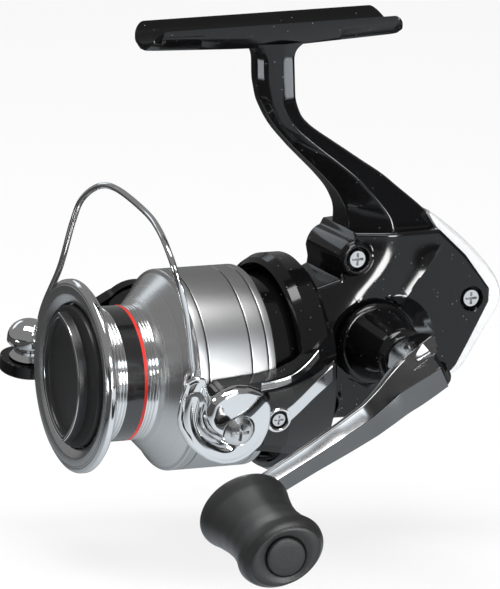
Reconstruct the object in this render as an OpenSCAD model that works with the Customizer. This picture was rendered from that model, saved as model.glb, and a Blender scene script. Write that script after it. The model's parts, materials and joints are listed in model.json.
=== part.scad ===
// Spinning reel with a folding handle, a bail and a front drag.
// The origin is the middle of the rod seat: +X points to the rod tip, +Y to the handle side, +Z up.
// The reel frame has its X axis on the spool axis and x = 0 at the front of the spool lip.

/* [Rod seat and foot] */
// Radius of the rod seat that the foot lies on
seat_r = 8; // [7.6:0.1:9]
// Length of the foot
foot_len = 58.5; // [56:0.5:64]
// Width of the foot
foot_w = 14.6; // [13.4:0.1:15]
// Thickness of the foot under the stem
foot_t = 2.9; // [2.4:0.1:3.4]
// Thickness of the foot at its ends
foot_tip_t = 1; // [0.8:0.1:1.4]
// Tilt of the foot against the spool axis, rear end up
foot_tilt = 1.1; // [0:0.1:1.1]
// Height of the rod axis over the spool axis
axis_drop = 87; // [86:0.5:89]
// Distance of the seat middle behind the spool lip
seat_x = 45.7; // [44:0.1:48]

/* [Stem] */
// Width of the stem where it meets the housing
stem_w = 21; // [19:0.5:22]

/* [Housing] */
// Depth of each half of the housing
half_w = 12; // [11.5:0.1:13]
// Wall of the housing
wall = 2; // [1.6:0.1:2.2]
// Front face of the housing in the reel frame
front_x = -58.5; // [-59:0.1:-58.3]
// Radius of the front collar that carries the clutch
collar_r = 13; // [12.6:0.1:14]
// Half width of the rear guard
guard_w = 9; // [8:0.2:10]
// Radius of the housing screws
screw_r = 1.3; // [1.1:0.1:1.5]
// Radius of the housing screw heads
screw_head_r = 2.5; // [2.2:0.1:2.8]

/* [Spool] */
// Radius of the spool lip
lip_r = 23; // [22.5:0.1:23.4]
// Radius of the line drum
arbor_r = 16.1; // [15.8:0.1:16.6]
// Radius of the spool skirt
skirt_r = 24; // [23.8:0.1:24.3]
// Wall of the spool skirt
skirt_t = 1.2; // [0.9:0.1:1.4]
// Rear edge of the skirt
skirt_x = -42.9; // [-43.4:0.1:-42]
// Radius of the pocket of the drag washers
drag_r = 11.4; // [11:0.1:12]
// Radius of the drag knob
drag_knob_r = 16.9; // [16.4:0.1:17]

/* [Shafts and gears] */
// Radius of the main shaft
shaft_r = 1.5; // [1.4:0.05:1.55]
// Radius of the drive shaft
drive_r = 2.9; // [2.6:0.1:3]
// Place of the handle axis along the spool axis
handle_x = -73.2; // [-73.4:0.1:-73.1]
// Height of the handle axis over the spool axis
handle_z = 6.5; // [6.3:0.1:6.7]
// Teeth of the drive gear
gear_teeth = 46; // [46:1:46]
// Teeth of the pinion
pinion_teeth = 10; // [10:1:10]
// Teeth of the small gear on the drive shaft
idler_teeth = 12; // [12:1:12]
// Teeth of the oscillation gear
osc_teeth = 24; // [24:1:24]
// Tooth size of the oscillation gears
osc_module = 0.8; // [0.8:0.05:0.8]
// Throw of the oscillation pin
osc_throw = 6; // [5:0.1:6.2]

/* [Rotor] */
// Turn of the rotor at rest, near arm down
rotor_a = -12; // [-20:1:0]
// Outer radius of the rotor cup
cup_r = 21.6; // [21:0.1:22]
// Outer radius of the ring behind the skirt
ring_r = 26.2; // [25.8:0.1:26.6]
// Outer radius of the rotor arms
arm_r = 29.2; // [28.8:0.1:29.4]
// Place of the bail pivots along the spool axis
pivot_x = -29; // [-29.5:0.1:-28.5]
// Radius of the pivot shoulders
pivot_r = 2.6; // [2.3:0.1:2.8]

/* [Bail] */
// Radius of the bail wire
wire_r = 0.75; // [0.6:0.05:0.9]
// Radius of the bail holder disc
holder_r = 8.6; // [8.2:0.1:9]
// Radius of the line roller
roller_r = 4.4; // [4:0.1:4.8]

/* [Handle] */
// Turn of the crank at rest, knob end down
crank_a = 28.2; // [20:0.2:36]
// Length of the crank from axis to knob
arm_len = 57.4; // [56:0.2:58]
// Distance of the crank arm from the middle plane
arm_y = 48.4; // [48.3:0.1:49]
// Lean of the knob away from the handle axis
knob_tilt = 8; // [4:0.5:10]
// Length of the knob
knob_len = 36.5; // [35:0.5:38]
// Half width of the knob along the arm
knob_a = 10.4; // [10:0.1:11]
// Half width of the knob across the arm
knob_b = 8.4; // [8:0.1:9]

/* [Clearances] */
// Radial clearance of a running fit
run = 0.05; // [0.03:0.01:0.08]
// Gap between pieces that pass each other
gap = 0.4; // [0.35:0.05:0.5]

/* [Hidden] */
$fn = 64;
eps = 0.01;

nose_x = front_x + 2.3;
bearing_x = nose_x + 0.2;
bearing_w = 4;
bearing_r = 7;
journal_r = 3.5;
clutch_x = bearing_x + bearing_w + 0.4;
collar_x = clutch_x + 8.2;
clutch_r = 10.5;
sleeve_r = 4.3;
roller_pin_r = 1.25;
roller_orbit = sleeve_r + roller_pin_r + 0.3;
retainer_t = 1;
web_x = collar_x + 3;
web_t = 3.5;
pinion_r = 3;
nut_t = 3.2;
pinion_front = web_x + web_t + nut_t + 0.4;
support_x = -30.6;
support_t = 3.4;
hub_x = support_x + support_t + 0.6;

mesh_dx = 11.7;
ratio = gear_teeth / pinion_teeth;
pitch_r = mesh_dx / ratio;
tooth_add = 0.4;
pinion_tip = pitch_r + tooth_add;
pinion_root = pitch_r - 0.5;
face_r = norm([mesh_dx, handle_z]);
face_skew = atan2(handle_z, mesh_dx);
face_y = pitch_r + 0.85;
plate_y = 5.6;
idler_r = osc_module * idler_teeth / 2;
osc_r = osc_module * osc_teeth / 2;
osc_x = handle_x - idler_r - osc_r;
osc_y = -9.2;
osc_t = 3;
slider_rest = -4;
slider_x = osc_x + slider_rest;
slider_half = 2.4;
rail_r = 1;
rail_z = 12.4;
rail_y = -0.4;
bush_r = 4.6;
bush_l = 4;

fold_y = arm_y - 10.4;
knob_from = 1.7;
tongue_t = 5;
tongue_r = 4.2;
root_r = 6;
fork_w = 11.6;
boss_y = half_w + 2;
shank_r = 2;
cap_r = 4.7;

rotor_x = -57.5;
taper_x = -44;
cover_t = 1.3;
cover_x = rotor_x + 1.1;
cover_r = ring_r + (arm_r - ring_r) * (cover_x - rotor_x) / (taper_x - rotor_x);
pocket_r = arm_r - 2.8;
spring_at = [-46.5, arm_r - 1.9, -4.1];
holder_in = arm_r + gap;
holder_out = holder_in + 5.2;
horn_r = 10.2;
horn_tube = 2.2;
horn_at = [2.6, arm_r + cover_t + gap + horn_tube, 0];
socket_at = [10.3, arm_r - 2.2, 8.4];
lever_in = arm_r + gap;
roller_at = [-2.4, -arm_r - 0.8, -7.2];
groove = 0.35;
lens_r = 16.3;
lens_off = 5.3;
lens_a = 9.3;
// Route of the bail wire: place along the axis, share of the arm radius across, height
wire_plan = [
    [-18.7, 0.925, 8], [-18.7, 0.925, 12], [-18, 0.911, 16.5], [-15.6, 0.89, 27.5], [-12.8, 0.849, 36],
    [-11.8, 0.702, 40.8], [-12.8, 0.411, 42.4], [-13.7, 0.068, 42.4], [-13, -0.445, 41.6],
    [-11.4, -0.685, 39.6], [-9.4, -0.842, 34.4], [-8.2, -0.89, 27.5], [-6.8, -0.918, 16],
    [-5, -0.99, 6], [-4.4, -1.007, 1], [-4.4, -1.007, -2.6]
];
wire_route = [for (p = wire_plan) [p[0], p[1] * arm_r, p[2]]];

boss_at = [-68.9, 26.5];
boss_r = 4.6;
housing = concat(
    [[front_x, -12.5], [front_x, 19], [-65.4, 21.5]],
    [for (a = [-40 : 20 : 80]) boss_at + boss_r * [cos(a), sin(a)]],
    [[-69, 32.5], [-92, 32.5], [-101, 24.5], [-107.5, 16.4], [-107.5, 11.5], [-104, 4], [-100, -2.5],
    [-92, -7.5], [-82, -11.5], [-72, -12.5]]
);
cavity = [
    [front_x - wall, -12.5 + wall], [front_x - wall, 17.2], [-66, 19.7], [-70, 21.6], [-73.8, 22.2],
    [-74.6, 30], [-91, 30], [-99.5, 22.8], [-104.5, 15.5], [-104.5, 12], [-102, 5.5], [-98.5, -0.6],
    [-91, -5.2], [-81.5, -9.2], [-72, -10.5]
];
screw_places = [[boss_at[0], boss_at[1], boss_r - 0.4], [-99.6, 15, 3.2], [-62.4, -8.7, 3]];

// Points of a quadratic curve from a to c that leaves and arrives towards b
function bend(a, b, c, n = 8) = [
    for (i = [0 : n]) let (t = i / n) (1 - t) * (1 - t) * a + 2 * t * (1 - t) * b + t * t * c
];
// Level sections of the stem: height, then front edge, ridge and rear edge, then the half width at the ridge
stem_plan = [
    [32.5, -69.3, -78.5, -94.6, 10.8], [35.5, -69.3, -77.9, -92.1, 10.4], [37.6, -68.8, -76.5, -89.4, 10],
    [40.7, -67.1, -73.9, -84.9, 9.4], [42.6, -65.6, -72.2, -82.1, 9.1], [45.6, -62.7, -69.4, -77.6, 8.6],
    [49, -59, -65.2, -72.4, 7.7], [52.1, -55.6, -61.2, -68, 6.8], [56.2, -51.6, -56.2, -62.1, 5.8],
    [57.7, -50.3, -54.6, -60, 5.5], [60.1, -48.6, -52.9, -57.6, 5.2], [64.2, -46.4, -51.1, -56, 4.9],
    [69.3, -45.2, -50.7, -55.7, 4.8], [78.2, -44.9, -50.4, -55.2, 4.8]
];
// Crank arm: place along it, then ridge, outer edge, inner edge and inner face from its plane, half width
arm_plan = [
    [6, -2.8, -3.6, -8.8, -10.4, 5.6], [10, -1.6, -2.2, -6, -7.8, 5.2], [14, -0.2, -0.9, -3.6, -5, 4.8],
    [20, 1.5, 0.5, -1.1, -2.3, 4.4], [28, 1.9, 0.8, -0.5, -1.5, 4], [37, 1.7, 0.6, -0.6, -1.6, 3.6],
    [46, 1.5, 0.5, -0.7, -1.7, 3.4], [arm_len, 1.2, 0.5, -0.8, -1.6, 3.2]
];
head_corner = [[-3.8, fold_y - 1, 9.8], [9.5, fold_y + 8.8, 0.9], [-11, fold_y + 5.4, -0.7]];
// Knob: place along its length, half width along the arm and across it, each as a share
knob_plan = [
    [0, 0.88, 0.92], [0.04, 0.98, 1.06], [0.1, 0.96, 1], [0.2, 0.91, 0.87], [0.38, 0.885, 0.845],
    [0.55, 0.855, 0.815], [0.72, 0.9, 0.835], [0.86, 1, 0.9], [0.95, 0.95, 0.86], [1, 0.78, 0.73]
];
guard_back = concat(
    [[-91.6, 34], [-92.3, 35.1], [-103.6, 24.7]], bend([-110.6, 18.2], [-115, 14.2], [-111.2, 8.6]),
    bend([-104.2, -2.4], [-101.8, -5.9], [-98, -6.2]), [[-93, -6.9], [-92, -7.5]]
);

// Frames
module reel() translate([seat_x, 0, -axis_drop]) children();
module turning() reel() rotate([rotor_a, 0, 0]) children();
module pivot() turning() translate([pivot_x, 0, 0]) children();
module drive() reel() translate([handle_x, 0, handle_z]) children();
module crank() drive() rotate([0, crank_a, 0]) children();
module grip() crank() translate([arm_len, arm_y, 0]) rotate([0, 0, -knob_tilt]) children();

// Shapes along one axis; a turned profile is a list of [radius, place]
module rod_x(x0, x1, r) translate([x0, 0, 0]) rotate([0, 90, 0]) cylinder(r = r, h = x1 - x0);
module rod_y(y0, y1, r) translate([0, y0, 0]) rotate([-90, 0, 0]) cylinder(r = r, h = y1 - y0);
module turned_x(profile) rotate([0, 90, 0]) rotate_extrude() polygon(profile);
module turned_y(profile) rotate([-90, 0, 0]) rotate_extrude() polygon(profile);
module slab_y(y0, y1) translate([0, y1, 0]) rotate([90, 0, 0]) linear_extrude(y1 - y0) children();
module slab_x(x0, x1) translate([x0, 0, 0]) rotate([90, 0, 90]) linear_extrude(x1 - x0) children();
module ring_x(x0, x1, ro, ri) turned_x([[ri, x0], [ro, x0], [ro, x1], [ri, x1]]);
module ring_y(y0, y1, ro, ri) turned_y([[ri, y0], [ro, y0], [ro, y1], [ri, y1]]);

// Spur teeth round a hub, with the first tooth on the turned side
module spur(root, tip, teeth, thick, phase = 0) {
    circle(root);
    for (i = [0 : teeth - 1])
        rotate(phase + i * 360 / teeth)
            polygon([
                [root - 0.2, -thick * 0.62], [tip, -thick * 0.34],
                [tip, thick * 0.34], [root - 0.2, thick * 0.62]
            ]);
}

// Cross recess of a screw head, cut from z = 0 down
module cross(size, depth) for (a = [0, 90])
    rotate(a) translate([-size, -size * 0.2, -depth]) cube([2 * size, size * 0.4, depth + 1]);

// Screw along +Z: shank from 0 to the head's seat at length l
module screw(r, l, head_r, head_t) difference() {
    union() {
        cylinder(r = r, h = l + eps);
        translate([0, 0, l]) cylinder(r1 = head_r, r2 = head_r * 0.8, h = head_t);
    }
    translate([0, 0, l + head_t]) cross(head_r * 0.6, head_t * 0.6);
}

// Tube along a route of points
function along(p, i) = p[max(0, min(len(p) - 1, i))];
function spline(p, n) = [
    for (i = [0 : len(p) - 2], j = [0 : n - 1])
        let (t = j / n, a = along(p, i - 1), b = p[i], c = p[i + 1], d = along(p, i + 2))
        b + 0.5 * t * (c - a) + 0.5 * t * t * (2 * a - 5 * b + 4 * c - d)
            + 0.5 * t * t * t * (3 * b - a - 3 * c + d),
    p[len(p) - 1]
];
module tube(route, r, sides) {
    n = len(route);
    rings = [
        for (i = [0 : n - 1])
            let (
                t = along(route, i + 1) - along(route, i - 1),
                u = cross(t, [1, 0, 0]),
                v = cross(t, u)
            )
            for (k = [0 : sides - 1])
                let (a = 360 * k / sides)
                route[i] + r * (cos(a) * u / norm(u) + sin(a) * v / norm(v))
    ];
    polyhedron(rings, concat(
        [[for (k = [0 : sides - 1]) k]],
        [for (i = [0 : n - 2], k = [0 : sides - 1], half = [0, 1])
            let (a = i * sides + k, b = i * sides + (k + 1) % sides)
            half == 0 ? [a, a + sides, b] : [b, a + sides, b + sides]],
        [[for (k = [sides - 1 : -1 : 0]) (n - 1) * sides + k]]
    ));
}

// Body casting: foot, stem, right half of the housing and the front collar
module foot() rotate([0, foot_tilt, 0]) intersection() {
    turned_x([
        [seat_r, -foot_len / 2], [seat_r + foot_tip_t, -foot_len / 2], [seat_r + foot_t, -foot_len * 0.16],
        [seat_r + foot_t, foot_len * 0.12], [seat_r + foot_tip_t, foot_len / 2], [seat_r, foot_len / 2]
    ]);
    translate([0, 0, -seat_r - foot_t - 1])
        linear_extrude(seat_r + foot_t + 1 - sqrt(seat_r * seat_r - foot_w * foot_w / 4)) {
            translate([-foot_len / 2 + 4, -foot_w / 2]) square([foot_len - 4 - foot_w / 2, foot_w]);
            translate([-foot_len / 2, -foot_w / 2 + 4]) square([foot_len / 2, foot_w - 8]);
            for (s = [-1, 1]) translate([-foot_len / 2 + 4, s * (foot_w / 2 - 4)]) circle(4);
            translate([foot_len / 2 - foot_w / 2, 0]) circle(foot_w / 2);
        }
}
module stem() {
    n = len(stem_plan);
    polyhedron(
        [for (p = stem_plan, q = [[1, 0.5], [2, 1], [3, 0.72], [3, -0.72], [2, -1], [1, -0.5]])
            [p[q[0]], p[4] * q[1] * stem_w / 21, p[0]]],
        concat(
            [[0, 1, 2, 3, 4, 5]],
            [for (i = [0 : n - 2], k = [0 : 5], half = [0, 1])
                let (a = i * 6 + k, b = i * 6 + (k + 1) % 6)
                half == 0 ? [a, a + 6, b] : [b, a + 6, b + 6]],
            [[for (k = [5 : -1 : 0]) (n - 1) * 6 + k]]
        )
    );
}
module body() color("#1c1c20") difference() {
    union() {
        foot();
        reel() {
            stem();
            difference() {
                slab_y(-half_w, 0) polygon(housing);
                slab_y(-half_w + wall, 1) polygon(cavity);
            }
            difference() {
                rod_x(front_x - wall, collar_x, collar_r);
                translate([-70, 0, -20]) cube([70 + front_x, 20, 40]);
            }
            rod_x(front_x - eps, nose_x, collar_r + 3);
            translate([-70, -half_w + 1, -10.4]) cube([2.4, half_w + 0.8, 15.4]);
            translate([-76.2, -half_w + 1, rail_z - 2]) cube([1.8, half_w, 5]);
            for (p = screw_places) translate([p[0], 0, p[1]]) rod_y(-half_w + 1, 0, p[2]);
            translate([osc_x, 0, handle_z]) rod_y(-half_w + 1, osc_y + osc_t - 0.3, 2.4);
        }
        drive() rod_y(-boss_y, osc_y - gap, bush_r + 2.4);
    }
    reel() {
        rod_x(-67, 0, journal_r + 0.7);
        rod_x(bearing_x, 0, bearing_r);
        rod_x(clutch_x, 0, clutch_r);
        rod_x(-71, -66.9, 3.4);
        translate([0, rail_y, rail_z]) rod_x(-102.6, -74.4, rail_r);
        for (p = screw_places) translate([p[0], 0, p[1]]) rod_y(-half_w + 3, 1, screw_r);
        intersection() {
            slab_y(0, half_w) polygon(cavity);
            rod_x(front_x - 5, nose_x - 1.7, collar_r + 1.5);
        }
        translate([front_x - 6, 0, handle_z]) translate([0, 1, -8]) cube([6.6, 5.5, 16]);
        for (a = [30, 150, 270]) rotate([a, 0, 0]) translate([0, 0, 11.75])
            rod_x(collar_x - 4, collar_x + 1, 0.6);
        difference() {
            translate([-86, -4, -20]) cube([7, 3, 11.5]);
            translate([-82.5, -5, -10.6]) rod_y(0, 5, 0.6);
        }
        translate([-104, -4.5, 4]) rotate([0, -30, 0]) rod_x(-12, 2.4, 0.9);
    }
    drive() rod_y(-boss_y - 1, -half_w + wall + 3, bush_r);
    drive() rod_y(osc_y - gap, osc_y + osc_t + gap, idler_r + 0.65 + gap);
}

// Left half of the housing
module side_cover() color("#1a1a1e") difference() {
    union() {
        reel() {
            difference() {
                slab_y(0, half_w) polygon(housing);
                slab_y(-1, half_w - wall) polygon(cavity);
            }
            for (p = screw_places) translate([p[0], 0, p[1]]) rod_y(0, half_w - 1, p[2]);
        }
        drive() rod_y(half_w - wall - 2, boss_y - 0.4, bush_r + 2.4);
    }
    reel() for (p = screw_places) translate([p[0], 0, p[1]]) {
        rod_y(-1, half_w + 1, screw_r);
        rod_y(half_w - 2.4, half_w + 1, screw_head_r + 0.3);
    }
    drive() rod_y(0, boss_y + 1, bush_r);
    reel() rod_x(front_x - wall - 1, front_x + 1, collar_r + 2);
    reel() translate([0, rail_y, rail_z]) rod_x(-102.6, -74.4, rail_r);
}
module rear_guard() color("#d9dadc") reel() difference() {
    slab_y(-guard_w, guard_w) polygon(concat(guard_back, [[-90, 20]]));
    slab_y(-half_w - 1, half_w + 1) polygon(housing);
    stem();
    translate([-104, -4.5, 4]) rotate([0, -30, 0]) rod_x(-12, 3, 0.9);
}
module guard_screw() color("silver") reel() translate([-104, -4.5, 4]) rotate([0, -120, 0])
    translate([0, 0, -2.2]) cylinder(r = 0.9, h = 5.6);
module body_screws() color("silver") reel()
    for (p = screw_places) translate([p[0], -half_w + 3.4, p[1]]) rotate([-90, 0, 0])
        screw(screw_r, 2 * half_w - 5.8, screw_head_r, 1.7);

// Drive train
module drive_gear() color("#b9b29a") drive() difference() {
    union() {
        rod_y(-boss_y - 2, boss_y + 12, drive_r);
        ring_y(face_y, plate_y, face_r + 1.1, face_r - 1.3);
        ring_y(plate_y - 1.1, plate_y, face_r, drive_r);
        ring_y(plate_y - 2.8, plate_y + 2, drive_r + 2, drive_r);
        for (i = [0 : gear_teeth - 1])
            rotate([0, face_skew + i * 360 / gear_teeth, 0]) translate([face_r, 0, 0])
                rotate([0, -face_skew, 0]) translate([-0.95, face_y - 0.95, -0.22]) cube([1.9, 1.2, 0.44]);
        slab_y(osc_y, osc_y + osc_t) spur(idler_r - 0.95, idler_r + 0.65, idler_teeth, 0.9);
    }
    rod_y(-boss_y - 3, -boss_y + 8, 1.8);
}
module drive_bushes() color("#c8b480") drive() {
    ring_y(-boss_y, -boss_y + bush_l, bush_r, drive_r + run);
    ring_y(boss_y - bush_l - 0.4, boss_y - 0.4, bush_r, drive_r + run);
}
module handle_cap() color("#151517") drive() {
    turned_y([
        [0, -boss_y - 6.6], [4.6, -boss_y - 6.6], [6.6, -boss_y - 5], [6.8, -boss_y - 0.6],
        [drive_r, -boss_y - 0.6], [drive_r, -boss_y - 2], [0, -boss_y - 2]
    ]);
    rod_y(-boss_y - 2.2, -boss_y + 6, 1.8);
}
module pinion() color("#c9a44c") reel() difference() {
    union() {
        translate([-66, 0, 0]) rotate([90, 0, 90]) linear_extrude(7.4)
            spur(pinion_root, pinion_tip, pinion_teeth, 0.5, 180 / pinion_teeth);
        rod_x(-70, -65.5, pinion_root - 0.1);
        rod_x(-58.8, clutch_x, journal_r);
        rod_x(clutch_x - eps, pinion_front, pinion_r);
    }
    rod_x(-80, 0, shaft_r + run);
}
module pinion_bearing() color("silver") reel()
    ring_x(bearing_x, bearing_x + bearing_w, bearing_r, journal_r + run);
module pinion_bush() color("#c8b480") reel() ring_x(-70, -67.6, 3.4, pinion_root - 0.1 + run);
module clutch_housing() color("#8d9094") reel() difference() {
    ring_x(clutch_x, collar_x, clutch_r, roller_orbit + 0.3);
    for (i = [0 : 7]) rotate([i * 45, 0, 0]) translate([0, 0, roller_orbit])
        rod_x(clutch_x + 0.8, collar_x + 1, roller_pin_r);
}
module clutch_rollers() color("silver") reel()
    for (i = [0 : 7]) rotate([i * 45, 0, 0]) translate([0, 0, roller_orbit])
        rod_x(clutch_x + 0.8, collar_x, roller_pin_r);
module clutch_sleeve() color("silver") reel() ring_x(clutch_x + 0.1, web_x - 0.1, sleeve_r, pinion_r);
module clutch_retainer() color("#70747a") reel() difference() {
    ring_x(collar_x, collar_x + retainer_t, collar_r, sleeve_r + gap);
    for (a = [30, 150, 270]) rotate([a, 0, 0]) translate([0, 0, 11.75])
        rod_x(collar_x - 1, collar_x + 3, 0.6);
}
module retainer_screws() color("silver") reel() for (a = [30, 150, 270]) rotate([a, 0, 0])
    translate([collar_x - 3, 0, 11.75]) rotate([0, 90, 0]) screw(0.6, 3 + retainer_t, 1.1, 0.6);
module stopper_lever() color("#151517") reel() difference() {
    union() {
        translate([-82.5, -2.5, -10.6]) rod_y(-1.1, 1.1, 1.5);
        translate([-85.3, -3.6, -14.6]) cube([5.6, 2.2, 2.2]);
        translate([-83.6, -3.6, -13]) cube([2.2, 2.2, 2.4]);
    }
    translate([-82.5, -2.5, -10.6]) rod_y(-3, 3, 0.6 + run);
}

// Oscillation
module main_shaft() color("silver") reel() difference() {
    rod_x(slider_x - 1, -1.2, shaft_r);
    translate([support_x + support_t / 2, 0, 0]) rod_y(-4, 4, 0.5);
    translate([slider_x + 1, 0, 0]) rod_y(0.6, 4, 0.6);
}
module slider() color("#6f5a35") reel() difference() {
    union() {
        translate([slider_x - slider_half, -2.8, 1]) cube([2 * slider_half, 4.6, rail_z + 1.2]);
        translate([slider_x - 1, -2.8, -2.5]) cube([slider_half + 1, 4.6, 4]);
    }
    rod_x(slider_x - 9, 0, shaft_r);
    translate([0, rail_y, rail_z]) rod_x(-120, -60, rail_r + run);
    translate([slider_x - 1.3, -5, handle_z - 3.9]) cube([2.6, 5, 7.8]);
    translate([slider_x + 1, 0, 0]) rod_y(0.6, 5, 0.6);
}
module slider_screw() color("silver") reel() translate([slider_x + 1, 0.6, 0]) rotate([-90, 0, 0])
    cylinder(r = 0.6, h = 1.1);
module guide_rail() color("silver") reel() translate([0, rail_y, rail_z]) rod_x(-102.6, -74.6, rail_r);
module oscillation_gear() color("#e6e2d6") reel() translate([osc_x, 0, handle_z]) difference() {
    union() {
        slab_y(osc_y, osc_y + osc_t) spur(osc_r - 0.95, osc_r + 0.65, osc_teeth, 0.9, 180 / osc_teeth);
        rotate([0, 180 + acos(-slider_rest / osc_throw), 0]) translate([osc_throw, 0, 0])
            rod_y(osc_y + 1, -2.8 - gap, 1.1);
    }
    rod_y(osc_y - 1, osc_y + osc_t + 1, 2.4 + run);
}

// Rotor
module arm_outline(root, neck, end) polygon(concat(
    [[rotor_x, -root], [rotor_x, root]], bend([-53, root - 2], [-46, neck], [-36, neck - 0.6]),
    [for (a = [75 : -15 : -75]) [pivot_x + end * cos(a), end * sin(a)]],
    bend([-36, -neck + 0.6], [-46, -neck], [-53, -root + 2])
));
module arm_shell() intersection() {
    turned_x([
        [skirt_r + 1.2, -19.4], [arm_r - 1.2, -19.4], [arm_r, -22], [arm_r, taper_x], [ring_r, rotor_x],
        [skirt_r - 1, rotor_x], [skirt_r + 1.2, skirt_x - 4]
    ]);
    slab_y(0, 40) arm_outline(17, 9.6, 8.6);
}
module cover_shell(front) intersection() {
    turned_x([
        [arm_r, -36], [arm_r + cover_t, -36], [arm_r + cover_t, taper_x], [cover_r + cover_t, cover_x],
        [cover_r, cover_x], [arm_r, taper_x]
    ]);
    slab_y(0, 40) polygon(concat(
        [[cover_x, -11], [cover_x, 11]], bend([-50, 8.6], [-44, 7.4], [front, 6.6]),
        bend([front, -6.6], [-44, -7.4], [-50, -8.6])
    ));
}
module both_arms() for (s = [0, 180]) rotate([s, 0, 0]) children();
module rotor() color("#17171b") turning() difference() {
    union() {
        turned_x([
            [pinion_r, web_x], [cup_r - 2, web_x], [cup_r - 1.6, rotor_x], [ring_r - 1.6, rotor_x],
            [ring_r, -55.8], [ring_r, -51.4], [ring_r - 1, -49.4], [ring_r - 2.2, -48.8],
            [ring_r - 2.8, -49.4], [ring_r - 2.8, -53.6], [cup_r, -54], [cup_r, -30.4], [cup_r - 0.8, -29.6],
            [cup_r - 2, -29.6], [cup_r - 2, web_x + web_t], [pinion_r, web_x + web_t]
        ]);
        both_arms() arm_shell();
    }
    both_arms() translate([pivot_x, 0, 0]) rod_y(24, 40, 1.5);
    translate([-41, 0, 0]) rod_y(24, 40, 0.8);
    translate([-46, 0, 0]) rod_y(-40, -24, 0.8);
    intersection() {
        ring_x(spring_at[0], spring_at[0] + 8.1, arm_r + 10, pocket_r);
        slab_y(0, 40) translate([spring_at[0], spring_at[2] - 2.1]) square([8.1, 4.2]);
    }
    for (a = [60, 240]) rotate([a, 0, 0]) translate([0, 0, 15]) rod_x(web_x - 1, web_x + web_t + 1, 2.4);
    translate([0, 0, 7.2]) rod_x(web_x, web_x + web_t + 1, 0.6);
}
module rotor_nut() color("#b8bcc2") reel() difference() {
    translate([web_x + web_t, 0, 0]) rotate([0, 90, 0]) cylinder(r = 5.6, h = nut_t, $fn = 6);
    rod_x(-60, 0, pinion_r);
}
module nut_lock() color("silver") turning() difference() {
    translate([web_x + web_t, -2.6, 5]) cube([0.8, 5.2, 4.4]);
    rod_x(-60, 0, 5.9);
    translate([0, 0, 7.2]) rod_x(-60, 0, 0.6);
}
module nut_lock_screw() color("silver") turning() translate([web_x + 0.6, 0, 7.2]) rotate([0, 90, 0])
    screw(0.6, web_t + 0.2, 1.1, 0.6);
module arm_cover() color("#101013") turning() difference() {
    cover_shell(-38);
    translate([-41, 0, 0]) rod_y(20, 40, 0.8);
    translate([-41, 0, 0]) rod_y(arm_r + 0.5, 40, 2.2);
    translate([pivot_x, 0, 0]) rod_y(20, 40, holder_r + gap);
}
module lever_cover() color("#101013") turning() rotate([180, 0, 0]) difference() {
    cover_shell(-41.5);
    translate([-46, 0, 0]) rod_y(20, 40, 0.8);
    translate([-46, 0, 0]) rod_y(arm_r + 0.1, 40, 2.2);
    translate([pivot_x, 0, 0]) rod_y(20, 40, holder_r + gap);
}
module arm_cover_screws() color("silver") turning() {
    translate([-41, arm_r - 3.4, 0]) rotate([-90, 0, 0]) screw(0.8, 3.9, 2, 0.7);
    rotate([180, 0, 0]) translate([-46, arm_r - 3.4, 0]) rotate([-90, 0, 0]) screw(0.8, 3.5, 2, 0.7);
}
module bail_spring() color("silver") turning() translate(spring_at)
    tube([
        for (i = [0 : 64]) let (a = 4 * 360 * i / 64) [0.5 + 5.6 * i / 64, 0.9 * cos(a), 0.9 * sin(a)]
    ], 0.3, 8);
module kick_lever() color("silver") turning() translate(spring_at) {
    rod_x(0, 6.6, 0.55);
    rod_x(6.4, 8.1, 1.1);
}

// Bail
module bail_holder() color("#c9ccd1") pivot() difference() {
    union() {
        turned_y([
            [pivot_r + run, holder_in], [holder_r, holder_in], [holder_r, holder_in + 2.6],
            [holder_r - 1.6, holder_out - 1], [holder_r - 3.4, holder_out], [pivot_r + run, holder_out]
        ]);
        translate(horn_at) rotate([-90, 0, 0]) rotate([0, 0, -60])
            rotate_extrude(angle = 170) translate([horn_r, 0]) circle(horn_tube);
        for (a = [-60, 110]) translate(horn_at) rotate([0, a, 0]) translate([horn_r, 0, 0]) sphere(horn_tube);
        translate(socket_at + [0, 0.4, 0]) rotate([-90, 0, 0])
            cylinder(r1 = 1.7, r2 = 2.1, h = horn_at[1] - socket_at[1]);
        translate(socket_at) cylinder(r = 1.8, h = 3.6);
        translate(socket_at) sphere(1.8);
    }
    rod_y(holder_out - 1.6, holder_out + 1, 4);
    rod_y(20, 60, pivot_r + run);
    translate([socket_at[0], socket_at[1], 7.4]) cylinder(r = wire_r + 0.2, h = 20);
}
module bail_screw() color("silver") pivot() difference() {
    union() {
        rod_y(25.4, holder_in - gap + eps, 1.5);
        rod_y(holder_in - gap, holder_out - 1.4, pivot_r);
        turned_y([
            [0, holder_out - 1.4], [3.6, holder_out - 1.4], [3.6, holder_out - 0.4], [2.6, holder_out + 0.5],
            [0, holder_out + 0.8]
        ]);
    }
    translate([0, holder_out + 0.8, 0]) rotate([-90, 0, 0]) cross(2.2, 0.9);
}
module bail_wire() color("#d4d7db") turning() tube(spline(wire_route, 5), wire_r, 8);

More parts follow.
